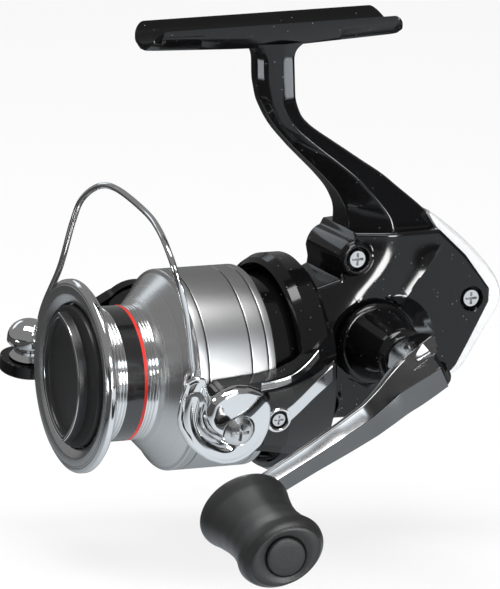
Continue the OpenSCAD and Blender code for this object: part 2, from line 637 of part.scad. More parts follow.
module roller_axis() turning() translate(roller_at) children();
module wire_cone() color("#c9ccd1") roller_axis() difference() {
    rotate_extrude() polygon(concat(
        [[0, 1.9], [5.4, 1.9], [5.4, 5.2]], [for (a = [15 : 15 : 90]) [5.4 * cos(a), 5.2 + 2.6 * sin(a)]]
    ));
    translate([0, 0, -1]) cylinder(r = 1.5, h = 5);
    translate([-2, 0.6, 4.2]) cylinder(r = wire_r + 0.3, h = 10);
}
module arm_lever() color("#17171b") difference() {
    union() {
        pivot() {
            turned_y([
                [0, -lever_in - 3.4], [holder_r - 1, -lever_in - 3.4], [holder_r, -lever_in - 2.6],
                [holder_r, -lever_in], [0, -lever_in]
            ]);
            slab_y(-lever_in - 3.4, -lever_in) polygon(concat(
                bend([0, 8.2], [14, 4], [20.4, -9.4]), bend([27.5, -9.4], [33, -10.6], [27.5, -12]),
                bend([22, -12], [9, -10], [0, -8.4])
            ));
        }
        roller_axis() {
            translate([0, 0, -5]) cylinder(r = 6.6, h = 2.9);
            translate([-3, -4.2, -5]) cube([6, 3, 2.9]);
        }
    }
    pivot() rod_y(-60, -20, pivot_r + run);
    pivot() rod_y(-60, -lever_in - 1.6, 3.9);
    roller_axis() translate([0, 0, -8]) cylinder(r = 1.5, h = 10);
}
module lever_screw() color("silver") pivot() difference() {
    union() {
        rod_y(-lever_in + gap - eps, -25.4, 1.5);
        rod_y(-lever_in - 1.8, -lever_in + gap, pivot_r);
        rod_y(-lever_in - 3.2, -lever_in - 1.8, 3.6);
    }
    translate([0, -lever_in - 3.2, 0]) rotate([90, 0, 0]) cross(2.2, 0.8);
}
module line_roller() color("#c0a050") roller_axis()
    rotate_extrude() polygon([
        [2.1 + run, -1.7], [roller_r, -1.7], [roller_r - 0.9, -0.3], [roller_r - 0.9, 0.4], [roller_r, 1.5],
        [2.1 + run, 1.5]
    ]);
module roller_bush() color("#e6e2d6") roller_axis()
    rotate_extrude() polygon([[1.5, -2.1], [2.1, -2.1], [2.1, 1.9], [1.5, 1.9]]);
module roller_screw() color("silver") roller_axis()
    translate([0, 0, 3.9]) rotate([180, 0, 0]) screw(1.5, 8.9, 2.4, 1);

// Spool, seen as one turned profile
module grooves(x0, n, step) for (i = [0 : n - 1])
    ring_x(x0 - i * step - 0.3, x0 - i * step, arbor_r + 1, arbor_r - groove);
module spool() color("#a9abb0") reel() difference() {
    turned_x(concat(
        [
            [shaft_r + run, hub_x], [7, hub_x], [7, -24.6], [skirt_r - skirt_t - 1, -24.6],
            [skirt_r - skirt_t, -25.6], [skirt_r - skirt_t, skirt_x], [skirt_r - 0.3, skirt_x],
            [skirt_r, skirt_x + 0.3], [skirt_r, -24.1], [skirt_r - 0.3, -23.7]
        ],
        bend([arbor_r + 1.3, -17.4], [arbor_r, -16.1], [arbor_r, -14.6], 5),
        bend([arbor_r, -6.4], [arbor_r, -4.6], [arbor_r + 2.4, -4], 5),
        [
            [lip_r - 0.4, -2.6], [lip_r, -2], [lip_r, -1], [lip_r - 0.5, -0.3], [lip_r - 1.3, 0],
            [lip_r - 3.4, -0.3], [drag_knob_r + gap, -1.3], [drag_knob_r + gap, -2.7], [drag_r + 2.8, -3],
            [drag_r + 2.8, -9], [drag_r, -9], [drag_r, -17], [shaft_r + run, -17]
        ]
    ));
    grooves(-6.2, 3, 0.8);
    grooves(-14.7, 2, 0.8);
    ring_x(-11, -10.2, drag_r + 0.6, drag_r - 1);
}
module drag_felts() color("#5a4a3a") reel()
    for (x = [-17, -15.1, -13.4]) ring_x(x, x + 0.9, drag_r - 0.3, 3);
module drag_plates() color("silver") reel() for (x = [-16, -12.4]) ring_x(x, x + 0.8, drag_r - 0.5, shaft_r);
module drag_ear_plate() color("silver") reel() ring_x(-14.2, -13.4, drag_r, 3);
module drag_clip() color("silver") reel() ring_x(-11, -10.2, drag_r + 0.6, drag_r - 1);
module lens(r) rotate([lens_a, 0, 0]) intersection() {
    translate([0, -lens_off, 0]) rod_x(-1.4, 2.3, r);
    translate([0, lens_off, 0]) rod_x(-1.4, 2.3, r);
}
module drag_knob() color("#141416") reel() difference() {
    union() {
        turned_x([
            [shaft_r + 0.4, -2.4], [drag_knob_r - 0.6, -2.4], [drag_knob_r, -1.8], [drag_knob_r, -0.7],
            [drag_knob_r - 0.7, 0], [0, 0], [0, -1]
        ]);
        turned_x([
            [3, -8.4], [drag_r + 2.2, -8.4], [drag_r + 2.2, -2.2], [drag_r + 0.8, -2.2], [drag_r + 0.8, -5.4],
            [3, -5.4]
        ]);
        ring_x(-10.4, -8, 7, 3);
        intersection() {
            lens(lens_r);
            rod_x(-1.4, 2.3, drag_knob_r - 1.4);
        }
    }
    translate([1.3, 0, 0]) intersection() {
        lens(lens_r - 1.4);
        rod_x(-1.4, 4, drag_knob_r - 3);
    }
    rod_x(-20, -0.6, shaft_r + 0.4);
    translate([-7.8, 0, 0]) rotate([0, 90, 0]) cylinder(r = 4.6, h = 2.8, $fn = 6);
}
module drag_nut() color("#c9a44c") reel() difference() {
    translate([-7.8, 0, 0]) rotate([0, 90, 0]) cylinder(r = 4.5, h = 2.2, $fn = 6);
    rod_x(-20, 0, shaft_r + run);
}
module drag_spring() color("silver") reel() translate([-5.3, 0, 0])
    tube([for (i = [0 : 48]) let (a = 3 * 360 * i / 48) [2.6 * i / 48, 3 * cos(a), 3 * sin(a)]], 0.3, 8);
module spool_support() color("#8d9094") reel() difference() {
    ring_x(support_x, support_x + support_t, 5, shaft_r);
    translate([support_x + support_t / 2, 0, 0]) rod_y(-6, 6, 0.5);
}
module support_pin() color("silver") reel()
    translate([support_x + support_t / 2, 0, 0]) rod_y(-4.6, 4.6, 0.5);
module spool_washer() color("#e6e2d6") reel()
    ring_x(support_x + support_t, support_x + support_t + 0.5, 4.6, shaft_r);
module click_ratchet() color("#c9a44c") reel() difference() {
    ring_x(hub_x, -24.6, 9.6, 7);
    for (i = [0 : 19]) rotate([i * 18, 0, 0]) translate([0, 0, 9.6]) rod_x(-30, -20, 0.5);
}
module click_pawl() color("silver") reel() difference() {
    union() {
        translate([support_x + 0.2, -0.8, 4.6]) cube([1.2, 1.6, 6.8]);
        translate([support_x + 0.2, -0.8, 10.2]) cube([4.6, 1.6, 1.2]);
    }
    rod_x(-40, -20, 5);
}

// Handle
module handle_boss() color("#0d0d0f") union() {
    drive() turned_y([
        [drive_r, boss_y], [9.8, boss_y], [9.8, boss_y + 1], [9.2, boss_y + 1.8], [8.5, boss_y + 2.2],
        [6.4, fold_y - 9], [5.6, fold_y - root_r - 0.6], [0, fold_y - root_r - 0.6], [0, boss_y + 12],
        [drive_r, boss_y + 12]
    ]);
    crank() difference() {
        union() {
            translate([-tongue_r, fold_y - root_r - 1, -tongue_t / 2])
                cube([2 * tongue_r, root_r + 1, tongue_t]);
            translate([0, fold_y, -tongue_t / 2]) cylinder(r = tongue_r, h = tongue_t);
        }
        translate([0, fold_y, -5]) cylinder(r = 1.5 + run, h = 10);
    }
}
// Bar of the crank arm: a ridge along its outer side and bevels along its inner side
module arm_bar() {
    n = len(arm_plan);
    polyhedron(
        [for (p = arm_plan, q = [[4, -0.7], [3, -1], [2, -0.97], [1, 0.2], [2, 0.97], [3, 1], [4, 0.7]])
            [p[0], arm_y + p[q[0]], p[5] * q[1]]],
        concat(
            [[0, 1, 2, 3, 4, 5, 6]],
            [for (i = [0 : n - 2], k = [0 : 6], half = [0, 1])
                let (a = i * 7 + k, b = i * 7 + (k + 1) % 7)
                half == 0 ? [a, a + 7, b] : [b, a + 7, b + 7]],
            [[for (k = [6 : -1 : 0]) (n - 1) * 7 + k]]
        )
    );
}
// Flat on the outer corner of the arm's head
module head_flat() polyhedron(
    concat(head_corner, [for (p = head_corner) p + [-2.1, 9.4, 7.2]]),
    [[0, 1, 2], [5, 4, 3], [0, 3, 1], [1, 3, 4], [1, 4, 2], [2, 4, 5], [2, 5, 0], [0, 5, 3]]
);
module arm_head() difference() {
    intersection() {
        translate([0, 0, -fork_w / 2]) linear_extrude(fork_w) {
            translate([0, fold_y]) circle(root_r);
            polygon([
                [-5.2, fold_y + 2.6], [-3.6, fold_y + 5.2], [-1, fold_y + 7.1], [4, fold_y + 7.6],
                [10, fold_y + 8.6], [10, fold_y + 3.2], [7.6, fold_y + 0.6], [5.4, fold_y - 3]
            ]);
        }
        slab_y(20, 80) polygon([
            [-root_r - 1, -fork_w / 2], [3, -fork_w / 2], [10, -5.2], [10, 5.2], [3, fork_w / 2],
            [-root_r - 1, fork_w / 2]
        ]);
    }
    head_flat();
}
module handle_arm() color("#6d7076") difference() {
    union() {
        crank() {
            arm_head();
            arm_bar();
        }
        grip() rod_y(-1.3, 1.3, 3.6);
    }
    crank() translate([0, fold_y, -tongue_t / 2 - gap / 2]) {
        cylinder(r = tongue_r + gap, h = tongue_t + gap);
        translate([-tongue_r - gap, -20, 0]) cube([2 * tongue_r + 2 * gap, 20, tongue_t + gap]);
        translate([-20, -tongue_r - gap, 0]) cube([20, 2 * tongue_r + 2 * gap, tongue_t + gap]);
        translate([0, 0, -10]) cylinder(r = 1.5, h = 24);
    }
    grip() rod_y(-10, 10, shank_r);
}
module fold_pin() color("silver") crank()
    translate([0, fold_y, -fork_w / 2 + 1]) cylinder(r = 1.5, h = fork_w - 2);
module knob_shank() color("silver") grip() {
    rod_y(-1.2, knob_len - 3.4, shank_r);
    rod_y(knob_len - 3.6, knob_len - 2.6, 2.6);
}
// Oval grip: a shoulder near the arm, a long waist and a flared end
module knob() color("#232428") grip() difference() {
    rows = spline(knob_plan, 3);
    last = len(rows) - 1;
    sides = 32;
    polyhedron(
        [for (r = rows, k = [0 : sides - 1])
            let (a = 360 * k / sides)
            [knob_a * r[1] * cos(a), knob_from + r[0] * (knob_len - knob_from), knob_b * r[2] * sin(a)]],
        concat(
            [[for (k = [sides - 1 : -1 : 0]) k]],
            [for (i = [0 : last - 1], k = [0 : sides - 1], half = [0, 1])
                let (a = i * sides + k, b = i * sides + (k + 1) % sides)
                half == 0 ? [a, b, a + sides] : [b, b + sides, a + sides]],
            [[for (k = [0 : sides - 1]) last * sides + k]]
        )
    );
    rod_y(0, knob_len - 4.6, 3);
    rod_y(knob_len - 4.8, knob_len - 1.4, 3.2);
    rod_y(knob_len - 1.6, knob_len + 1, cap_r);
}
module knob_bush() color("#e6e2d6") grip() {
    ring_y(knob_from + 0.2, knob_from + 3.8, 3, shank_r + run);
    ring_y(knob_len - 8.6, knob_len - 4.8, 3, shank_r + run);
}
module knob_cap() color("#2a2b2f") grip()
    turned_y([
        [0, knob_len - 1.5], [cap_r - 0.1, knob_len - 1.5], [cap_r - 0.1, knob_len - 0.2],
        [cap_r - 0.5, knob_len + 0.2], [0, knob_len + 0.3]
    ]);

body();
side_cover();
rear_guard();
guard_screw();
body_screws();
drive_gear();
drive_bushes();
handle_cap();
pinion();
pinion_bearing();
pinion_bush();
clutch_housing();
clutch_rollers();
clutch_sleeve();
clutch_retainer();
retainer_screws();
stopper_lever();
main_shaft();
slider();
slider_screw();
guide_rail();
oscillation_gear();
rotor();
rotor_nut();
nut_lock();
nut_lock_screw();
arm_cover();
lever_cover();
arm_cover_screws();
bail_spring();
kick_lever();
bail_holder();
bail_screw();
bail_wire();
wire_cone();
arm_lever();
lever_screw();
line_roller();
roller_bush();
roller_screw();
spool();
drag_felts();
drag_plates();
drag_ear_plate();
drag_clip();
drag_knob();
drag_nut();
drag_spring();
spool_support();
support_pin();
spool_washer();
click_ratchet();
click_pawl();
handle_boss();
handle_arm();
fold_pin();
knob_shank();
knob();
knob_bush();
knob_cap();
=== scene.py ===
# %% [markdown]
# # A spinning reel, dressed over its construction model
# The reel's pieces come from the construction model, at real size and in their places. This lesson gives each
# of them the surface that the real one has, and carves the cast, turned and moulded skins as numpy surfaces.

# %% Load the construction model
import json
import math

import bpy
import numpy as np
from mathutils import Matrix, Vector


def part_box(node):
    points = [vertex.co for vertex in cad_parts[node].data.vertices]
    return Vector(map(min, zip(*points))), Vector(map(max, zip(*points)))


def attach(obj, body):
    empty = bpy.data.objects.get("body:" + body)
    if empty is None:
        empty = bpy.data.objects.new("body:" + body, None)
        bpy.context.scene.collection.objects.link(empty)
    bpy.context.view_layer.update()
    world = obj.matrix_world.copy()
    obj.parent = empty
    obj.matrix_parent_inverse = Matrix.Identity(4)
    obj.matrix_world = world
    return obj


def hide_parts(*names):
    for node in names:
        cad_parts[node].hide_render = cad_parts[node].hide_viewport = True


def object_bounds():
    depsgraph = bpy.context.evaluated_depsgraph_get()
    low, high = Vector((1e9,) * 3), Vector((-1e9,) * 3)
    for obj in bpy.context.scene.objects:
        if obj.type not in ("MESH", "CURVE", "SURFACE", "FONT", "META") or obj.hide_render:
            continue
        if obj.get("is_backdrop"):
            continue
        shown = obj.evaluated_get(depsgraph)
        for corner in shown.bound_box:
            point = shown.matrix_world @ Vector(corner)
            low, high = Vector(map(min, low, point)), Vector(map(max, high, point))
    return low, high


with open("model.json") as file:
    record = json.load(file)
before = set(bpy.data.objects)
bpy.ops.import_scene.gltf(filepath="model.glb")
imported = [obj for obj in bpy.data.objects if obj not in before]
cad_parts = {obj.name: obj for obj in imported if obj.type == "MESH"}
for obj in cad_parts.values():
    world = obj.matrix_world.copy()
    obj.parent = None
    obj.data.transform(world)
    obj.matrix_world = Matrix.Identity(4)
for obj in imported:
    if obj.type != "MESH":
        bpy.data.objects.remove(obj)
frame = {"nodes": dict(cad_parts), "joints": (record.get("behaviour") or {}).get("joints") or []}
cad_low, cad_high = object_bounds()
nodes = frame["nodes"]
joint = {j["name"]: j for j in frame["joints"]}
print("pieces of the construction model:", len(nodes))

# %% [markdown]
# ## Frames of the reel
# The origin of the model is the middle of the rod seat. Most sizes on a reel are easier to read from the spool:
# here x = 0 is the front of the spool lip, the X axis is the spool's own axis, and a size is a number of
# millimetres. The rotor is turned a little at rest and the crank hangs down, so each has a frame of its own.

# %% Frames, worked out from the joints
MM = 0.001
lip_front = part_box("spool")[1][0] / MM
axis_height = joint["rotor_spin"]["pos_m"][2] / MM
rotor_turn = math.atan2(joint["bail_swing"]["axis"][2], joint["bail_swing"]["axis"][1])
crank_turn = math.atan2(joint["handle_fold"]["axis"][0], joint["handle_fold"]["axis"][2])
handle_x = joint["handle_turn"]["pos_m"][0] / MM - lip_front
handle_z = joint["handle_turn"]["pos_m"][2] / MM - axis_height
pivot_x = joint["bail_swing"]["pos_m"][0] / MM - lip_front


def reel(points):
    """Moves points from the spool's frame, in millimetres, to the model's frame, in metres."""
    return (np.asarray(points, float) + (lip_front, 0, axis_height)) * MM


def turning(points):
    """The rotor's frame: turned about the spool axis by the rotor's rest angle."""
    x, y, z = np.moveaxis(np.asarray(points, float), -1, 0)
    c, s = math.cos(rotor_turn), math.sin(rotor_turn)
    return reel(np.stack([x, y * c - z * s, y * s + z * c], -1))


def crank(points):
    """The crank's frame: first number along the arm, second away from the reel, third across the arm."""
    u, y, w = np.moveaxis(np.asarray(points, float), -1, 0)
    c, s = math.cos(crank_turn), math.sin(crank_turn)
    return reel(np.stack([handle_x + u * c + w * s, y, handle_z - u * s + w * c], -1))


knob_pos = np.array(joint["knob_spin"]["pos_m"])
knob_axis = np.array(joint["knob_spin"]["axis"])
knob_across = np.array(joint["handle_fold"]["axis"])
knob_along = np.cross(knob_axis, knob_across)


def grip(points):
    """The knob's frame: first number along the arm, second along the knob's own axis, third across."""
    return knob_pos + np.asarray(points, float) * MM @ np.stack([knob_along, knob_axis, knob_across])


print(f"rotor turned {math.degrees(rotor_turn):.1f} degrees, crank hanging {math.degrees(crank_turn):.1f} degrees")

# %% [markdown]
# ## Surfaces from arrays
# Every new skin is a grid of points: a function of two parameters, or a profile carried along a path. One small
# class collects the grids of a piece, joins neighbours with quads, closes ends with a fan round a middle point,
# and hands whole arrays to Blender.

# %% The grid helper
scene = bpy.context.scene


def placed(name, data):
    """A new object that holds the data, linked to the scene."""
    made = bpy.data.objects.new(name, data)
    scene.collection.objects.link(made)
    return made


class Skin:
    """A piece in the making: points, faces and the finish of each face."""

    def __init__(self):
        self.points, self.faces, self.finish = np.zeros((0, 3)), [], []

    def grid(self, p, loop=False, finish=0):
        """Adds a grid p[row, column] whose last column joins the first. loop joins the last row to the first too;
        otherwise each end row gets a fan. finish is one number, or one for each band of rows."""
        rows, cols = p.shape[:2]
        index = len(self.points) + np.arange(rows * cols).reshape(rows, cols)
        wide = np.concatenate([index, index[:, :1]], 1)
        wide = np.concatenate([wide, wide[:1]], 0) if loop else wide
        quads = np.stack([wide[:-1, :-1], wide[:-1, 1:], wide[1:, 1:], wide[1:, :-1]], -1)
        self.points = np.concatenate([self.points, p.reshape(-1, 3)])
        self.faces += quads.reshape(-1, 4).tolist()
        bands = np.broadcast_to(np.atleast_1d(finish), (len(wide) - 1,))
        self.finish += np.repeat(bands, wide.shape[1] - 1).tolist()
        for row, sign in () if loop else ((0, 1), (-1, -1)):
            middle = len(self.points)
            self.points = np.concatenate([self.points, p[row].mean(0)[None]])
            rim = wide[row]
            fan = np.stack([np.full(len(rim) - 1, middle), rim[1:], rim[:-1]], -1)[:, ::sign]
            self.faces += fan.tolist()
            self.finish += [int(bands[row])] * len(fan)
        return self

    def piece(self, name, body, slot, materials, stands_for=(), crease=38):
        """Makes the Blender object. It stays at the origin, its place is in its points, and edges that turn by more
        than crease degrees stay sharp."""
        mesh = bpy.data.meshes.new(name)
        mesh.from_pydata(self.points.tolist(), [], self.faces)
        for material in materials:
            mesh.materials.append(material)
        mesh.polygons.foreach_set("material_index", np.array(self.finish, np.int32))
        mesh.polygons.foreach_set("use_smooth", np.full(len(self.faces), True))
        mesh.update()
        mesh.set_sharp_from_angle(angle=math.radians(crease))
        made = placed(name, mesh)
        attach(made, body)
        if stands_for:
            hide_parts(*stands_for)
        print(f"{name}: {len(self.faces)} faces")


print("a closed tube of 8 sides:", len(Skin().grid(np.zeros((2, 8, 3))).faces), "faces")

# %% Profiles, curves and rings


def compass(count):
    """Unit steps in so many directions round a circle."""
    a = np.linspace(0, 2 * np.pi, count, endpoint=False)
    return np.stack([np.cos(a), np.sin(a)], -1)


def turned(profile, count):
    """A profile of (radius, place) pairs turned about X: grid[row, column] in the spool's frame."""
    r, x = np.asarray(profile, float).T
    return np.insert(r[:, None, None] * compass(count), 0, x[:, None], axis=-1)


def upright(profile, count):
    """The same profile turned about the second axis, for what stands out from the side of the reel."""
    return turned(profile, count)[..., [2, 0, 1]]


def smooth(path, count):
    """A smooth curve through a list of points: cubic pieces whose slopes come from the neighbours."""
    p = np.asarray(path, float)
    t = np.linspace(0, len(p) - 1, count)
    i = np.clip(t.astype(int), 0, len(p) - 2)
    f = (t - i)[:, None]
    slope = np.gradient(p, axis=0)
    a, b, m, n = p[i], p[i + 1], slope[i], slope[i + 1]
    return a * (1 + 2 * f) * (1 - f) ** 2 + b * f * f * (3 - 2 * f) + m * f * (1 - f) ** 2 - n * f * f * (1 - f)


def eased(table, at, blur):
    """Columns of a table against its first one: straight lines between the rows, softened by a bell-shaped average of
    that width."""
    t = np.asarray(table, float)
    reach = np.linspace(-2, 2, 41)
    spot = np.asarray(at, float)[:, None] + blur * reach
    bell = np.exp(-reach**2)
    return np.stack([np.interp(spot, t[:, 0], column) @ (bell / bell.sum()) for column in t[:, 1:].T], -1)


TINY, SLACK = 1e-9, 1e-6


def reach_to(path, middle, way):
    """How far a ray from a middle point runs, in each direction, before it meets a closed path of straight sides: the
    crossing of two lines, kept where it lies on the side."""
    a = np.asarray(path, float) - middle
    side = np.roll(a, -1, 0) - a
    across = way[:, None, 0] * side[:, 1] - way[:, None, 1] * side[:, 0]
    across = np.where(np.abs(across) < TINY, TINY, across)
    share = (a[:, 0] * way[:, None, 1] - a[:, 1] * way[:, None, 0]) / across
    far = (a[:, 0] * side[:, 1] - a[:, 1] * side[:, 0]) / across
    return np.where((share >= -SLACK) & (share <= 1 + SLACK) & (far > 0), far, np.inf).min(1)


def tube(path, size, sides, across=(1, 0, 0)):
    """Rings round a path. Each ring lies square to the path and is measured from a fixed direction across it."""
    p = np.asarray(path, float)
    t = np.gradient(p, axis=0)
    t /= np.linalg.norm(t, axis=1, keepdims=True)
    v = across - (t @ across)[:, None] * t
    v /= np.linalg.norm(v, axis=1, keepdims=True)
    u = np.cross(v, t)
    way = compass(sides)
    size = np.broadcast_to(np.asarray(size, float), (len(p),))[:, None, None]
    return p[:, None] + size * (way[:, :1] * u[:, None] + way[:, 1:] * v[:, None])


def rounded(path, cut, count, closed=True):
    """Every corner of a closed path, or of each path in a stack, becomes a parabola that leaves the two sides at the
    distance cut from it, or nearly half way along a shorter side. An open path keeps its two ends."""
    p = np.asarray(path, float)
    cut = np.broadcast_to(np.reshape(cut, (-1, 1)), (p.shape[-2], 1))

    def toward(shift):
        side = np.roll(p, shift, -2) - p
        reach = np.maximum(np.linalg.norm(side, axis=-1, keepdims=True), TINY)
        return (p + side / reach * np.minimum(cut, 0.45 * reach))[..., None, :]

    t = np.linspace(0, 1, count)[:, None]
    made = toward(1) * (1 - t) ** 2 + p[..., None, :] * 2 * t * (1 - t) + toward(-1) * t**2
    flat = (*p.shape[:-2], -1, p.shape[-1])
    if closed:
        return made.reshape(flat)
    return np.concatenate([p[..., :1, :], made[..., 1:-1, :, :].reshape(flat), p[..., -1:, :]], -2)


def step(low, high, value):
    """A smooth step from 0 at low to 1 at high."""
    t = np.clip((value - low) / (high - low), 0, 1)
    return t * t * (3 - 2 * t)


print("an eased corner:", np.round(rounded([(0, 0), (1, 0), (1, 1)], 0.4, 3, closed=False), 2).tolist())

# %% [markdown]
# ## Shader arithmetic
# Node graphs are easiest to read as formulas. A small class wraps one socket: adding or multiplying two of them
# adds a Math node, and a single method makes any other node from its type, its settings and its inputs.

# %% The socket class


def operator(operation, swap=False):
    """A method that makes a Math node of that operation, for value and other, or for other and value if swapped."""
    return lambda self, other: self.math(operation, *((other, self) if swap else (self, other)))


class Value:
    """One output socket of a node tree that takes part in Python arithmetic."""

    def __init__(self, tree, socket=None):
        self.tree, self.socket = tree, socket

    def node(self, kind, settings=None, out=0, **inputs):
        """Makes a node of that type. An input is named by its label, with spaces written as _, or i0, i1 by place."""
        made = self.tree.nodes.new("ShaderNode" + kind)
        for key, setting in (settings or {}).items():
            setattr(made, key, setting)
        for key, value in inputs.items():
            spot = made.inputs[int(key[1:])] if key[1:].isdigit() else made.inputs[key.replace("_", " ")]
            if isinstance(value, Value):
                self.tree.links.new(value.socket, spot)
            else:
                spot.default_value = value
        return Value(self.tree, made.outputs[out])

    def math(self, operation, a, b=0.0):
        """A Math node of that operation on a and b."""
        return self.node("Math", {"operation": operation}, i0=a, i1=b)

    __add__, __radd__ = operator("ADD"), operator("ADD", swap=True)
    __sub__, __rsub__ = operator("SUBTRACT"), operator("SUBTRACT", swap=True)
    __mul__, __lt__ = operator("MULTIPLY"), operator("LESS_THAN")

    def mix(self, first, second):
        """A colour that goes from first to second as this value goes from 0 to 1."""
        return self.node("Mix", {"data_type": "RGBA"}, out=2, i0=self, i6=first, i7=second)


print("a Value adds, subtracts, multiplies, compares and mixes")

# %% Materials and the patterns they share


def finish(name, recipe, **constants):
    """A material: constants go straight on the shader's sockets, and recipe(v) returns what varies over the surface."""
    material = bpy.data.materials.new(name)
    material.use_nodes = True
    tree = material.node_tree
    shader = tree.nodes["Principled BSDF"]
    for key, value in constants.items():
        shader.inputs[key.replace("_", " ")].default_value = value
    for key, value in recipe(Value(tree)).items():
        tree.links.new(value.socket, shader.inputs[key.replace("_", " ")])
    return material


def tone(level, tint=(1, 1, 1)):
    """A grey of that level with a slight tint."""
    return (*(level * np.array(tint)), 1)


def place(v):
    """The point of the surface in the model's frame, in metres."""
    return v.node("TexCoord", out=3)


def split(v, vector):
    """The three numbers of a vector, as values."""
    parts = v.node("SeparateXYZ", Vector=vector)
    return [Value(v.tree, s) for s in parts.socket.node.outputs]


def grain(v, scale, detail=3.0):
    """Soft noise between 0 and 1, scale cells to the metre."""
    return v.node("TexNoise", Vector=place(v), Scale=scale, Detail=detail)


def bump(v, height, strength, distance=0.0002):
    """A Bump node for the shader's normal."""
    return v.node("Bump", Height=height, Strength=strength, Distance=distance)


print("greys run from", tone(0.0), "to", tone(1.0))

# %% [markdown]
# ## Finishes
# A reel is a small catalogue of finishes: lacquer with a few metal flakes, turned and polished alloy, chrome,
# nickel screws, soft rubber. Each is one shader whose colour, roughness and normal change a little over the
# surface, at the scale that the real finish does. The flakes are cells of a Voronoi pattern about a millimetre
# wide, of which only a few light up.

# %% Lacquers and plastics


def flakes(v, scale, share, size):
    """1 inside small dots: the nearest of the scattered points is close, and its own random number is small."""
    dots = v.node("TexVoronoi", Vector=place(v), Scale=scale)
    outs = dots.socket.node.outputs
    chance = split(v, Value(v.tree, outs["Color"]))[0]
    return (Value(v.tree, outs["Distance"]) < size) * (chance < share)


def lacquer(v):
    """Black with a slow haze in its gloss, and a few pale, duller flakes."""
    speck = flakes(v, scale=1000.0, share=0.25, size=0.1)
    haze = grain(v, 60.0)
    return {
        "Base_Color": speck.mix(tone(0.004, (1, 1, 1.1)), tone(0.35)),
        "Roughness": 0.24 + haze * 0.1 + speck * 0.1,
    }


def moulded(name, low, high, scale, rough, height, **constants):
    """A moulded plastic: fine grain in colour, roughness and height."""

    def recipe(v):
        fine = grain(v, scale, 6.0)
        return {
            "Base_Color": fine.mix(low, high),
            "Roughness": rough + fine * 0.12,
            "Normal": bump(v, fine, height),
        }

    return finish(name, recipe, **constants)


clear_coat = {"Coat_Weight": 1.0, "Coat_Roughness": 0.1, "Coat_IOR": 1.45}
black_lacquer = finish("black_lacquer", lacquer, **clear_coat, Specular_IOR_Level=0.0)
black_plastic = moulded("black_plastic", tone(0.008), tone(0.02), scale=3000.0, rough=0.3, height=0.1)
soft_rubber = moulded("soft_rubber", tone(0.006), tone(0.016), scale=2600.0, rough=0.36, height=0.25)
white_plastic = moulded("white_plastic", tone(0.72), tone(0.8), scale=900.0, rough=0.4, height=0.05)
TAN = (1.2, 1, 0.8)
felt = moulded("felt", tone(0.1, TAN), tone(0.22, TAN), scale=2500.0, rough=0.85, height=0.6)
pale_guard = moulded("pale_guard", tone(0.8), tone(0.9), scale=700.0, rough=0.24, height=0.05, Metallic=0.35)
print("plastics and lacquers: 6")

# %% Metals


def metal(name, low, high, rough, spread=0.08, scale=220.0):
    """A plain metal: slow drifts of colour and roughness, as handling and polishing leave them."""

    def recipe(v):
        drift = grain(v, scale, 4.0)
        return {"Base_Color": drift.mix(low, high), "Roughness": rough + drift * spread}

    return finish(name, recipe, Metallic=1.0)


def radius(v):
    """Distance of a point from the spool axis, in millimetres, and its place along the axis from the lip."""
    x, y, z = split(v, place(v))
    y, z = y * (1 / MM), z * (1 / MM) - axis_height
    return v.math("SQRT", y * y + z * z), x * (1 / MM) - lip_front


SLANT = 1.37


def lathe(name, low, high, rough, lines, strength, **constants):
    """Metal from a lathe: fine rings, a noise of the distance from the axis plus SLANT times the place along it."""

    def recipe(v):
        r, x = radius(v)
        ring = v.node("TexNoise", {"noise_dimensions": "1D"}, W=(r + x * SLANT) * lines, Scale=1.0, Detail=3.0)
        return {
            "Base_Color": ring.mix(low, high),
            "Roughness": rough + ring * 0.12,
            "Normal": bump(v, ring, strength, distance=0.00002),
        }

    return finish(name, recipe, **constants)


turned_alloy = lathe("turned_alloy", tone(0.62), tone(0.78), rough=0.2, lines=5.0, strength=0.25, Metallic=1.0)
polished_alloy = metal("polished_alloy", tone(0.74), tone(0.8), rough=0.06)
smoke_alloy = lathe("smoke_alloy", tone(0.41), tone(0.48), rough=0.3, lines=6.0, strength=0.12, Metallic=1.0)
chrome = metal("chrome", tone(0.76), tone(0.82), rough=0.04, spread=0.04)
nickel = metal("nickel", tone(0.6), tone(0.72), rough=0.16)
graphite = metal("graphite", tone(0.15), tone(0.19), rough=0.15, spread=0.05, scale=120.0)
brass = metal("brass", (0.6, 0.42, 0.16, 1), (0.72, 0.52, 0.22, 1), rough=0.24)
zinc = metal("zinc", tone(0.3), tone(0.4), rough=0.42, spread=0.15, scale=400.0)
print("metals: 8")

# %% [markdown]
# ## Every piece of the construction model gets its finish
# Pieces that keep their solid shape are painted here. The ones that a carved skin stands for later are painted
# too, so that nothing is bare while the lesson is half done. Screws, pins, springs and all else that the list
# doesn't name are nickel.

# %% Painting the construction model
wears = {
    black_lacquer: "body side_cover rotor handle_boss arm_lever",
    black_plastic: "arm_cover lever_cover drag_knob handle_cap stopper_lever knob_cap",
    pale_guard: "rear_guard",
    soft_rubber: "knob",
    turned_alloy: "spool spool_support clutch_housing",
    chrome: "bail_holder bail_wire wire_cone line_roller",
    graphite: "handle_arm",
    brass: "pinion drive_bushes pinion_bush drag_nut click_ratchet",
    zinc: "drive_gear slider clutch_retainer",
    white_plastic: "oscillation_gear roller_bush spool_washer knob_bush",
    felt: "drag_felts",
}
for name, node in nodes.items():
    fitting = [material for material, names in wears.items() if name in names.split()]
    node.data.materials.clear()
    node.data.materials.append(*(fitting or [nickel]))
print("painted", len(nodes), "pieces")
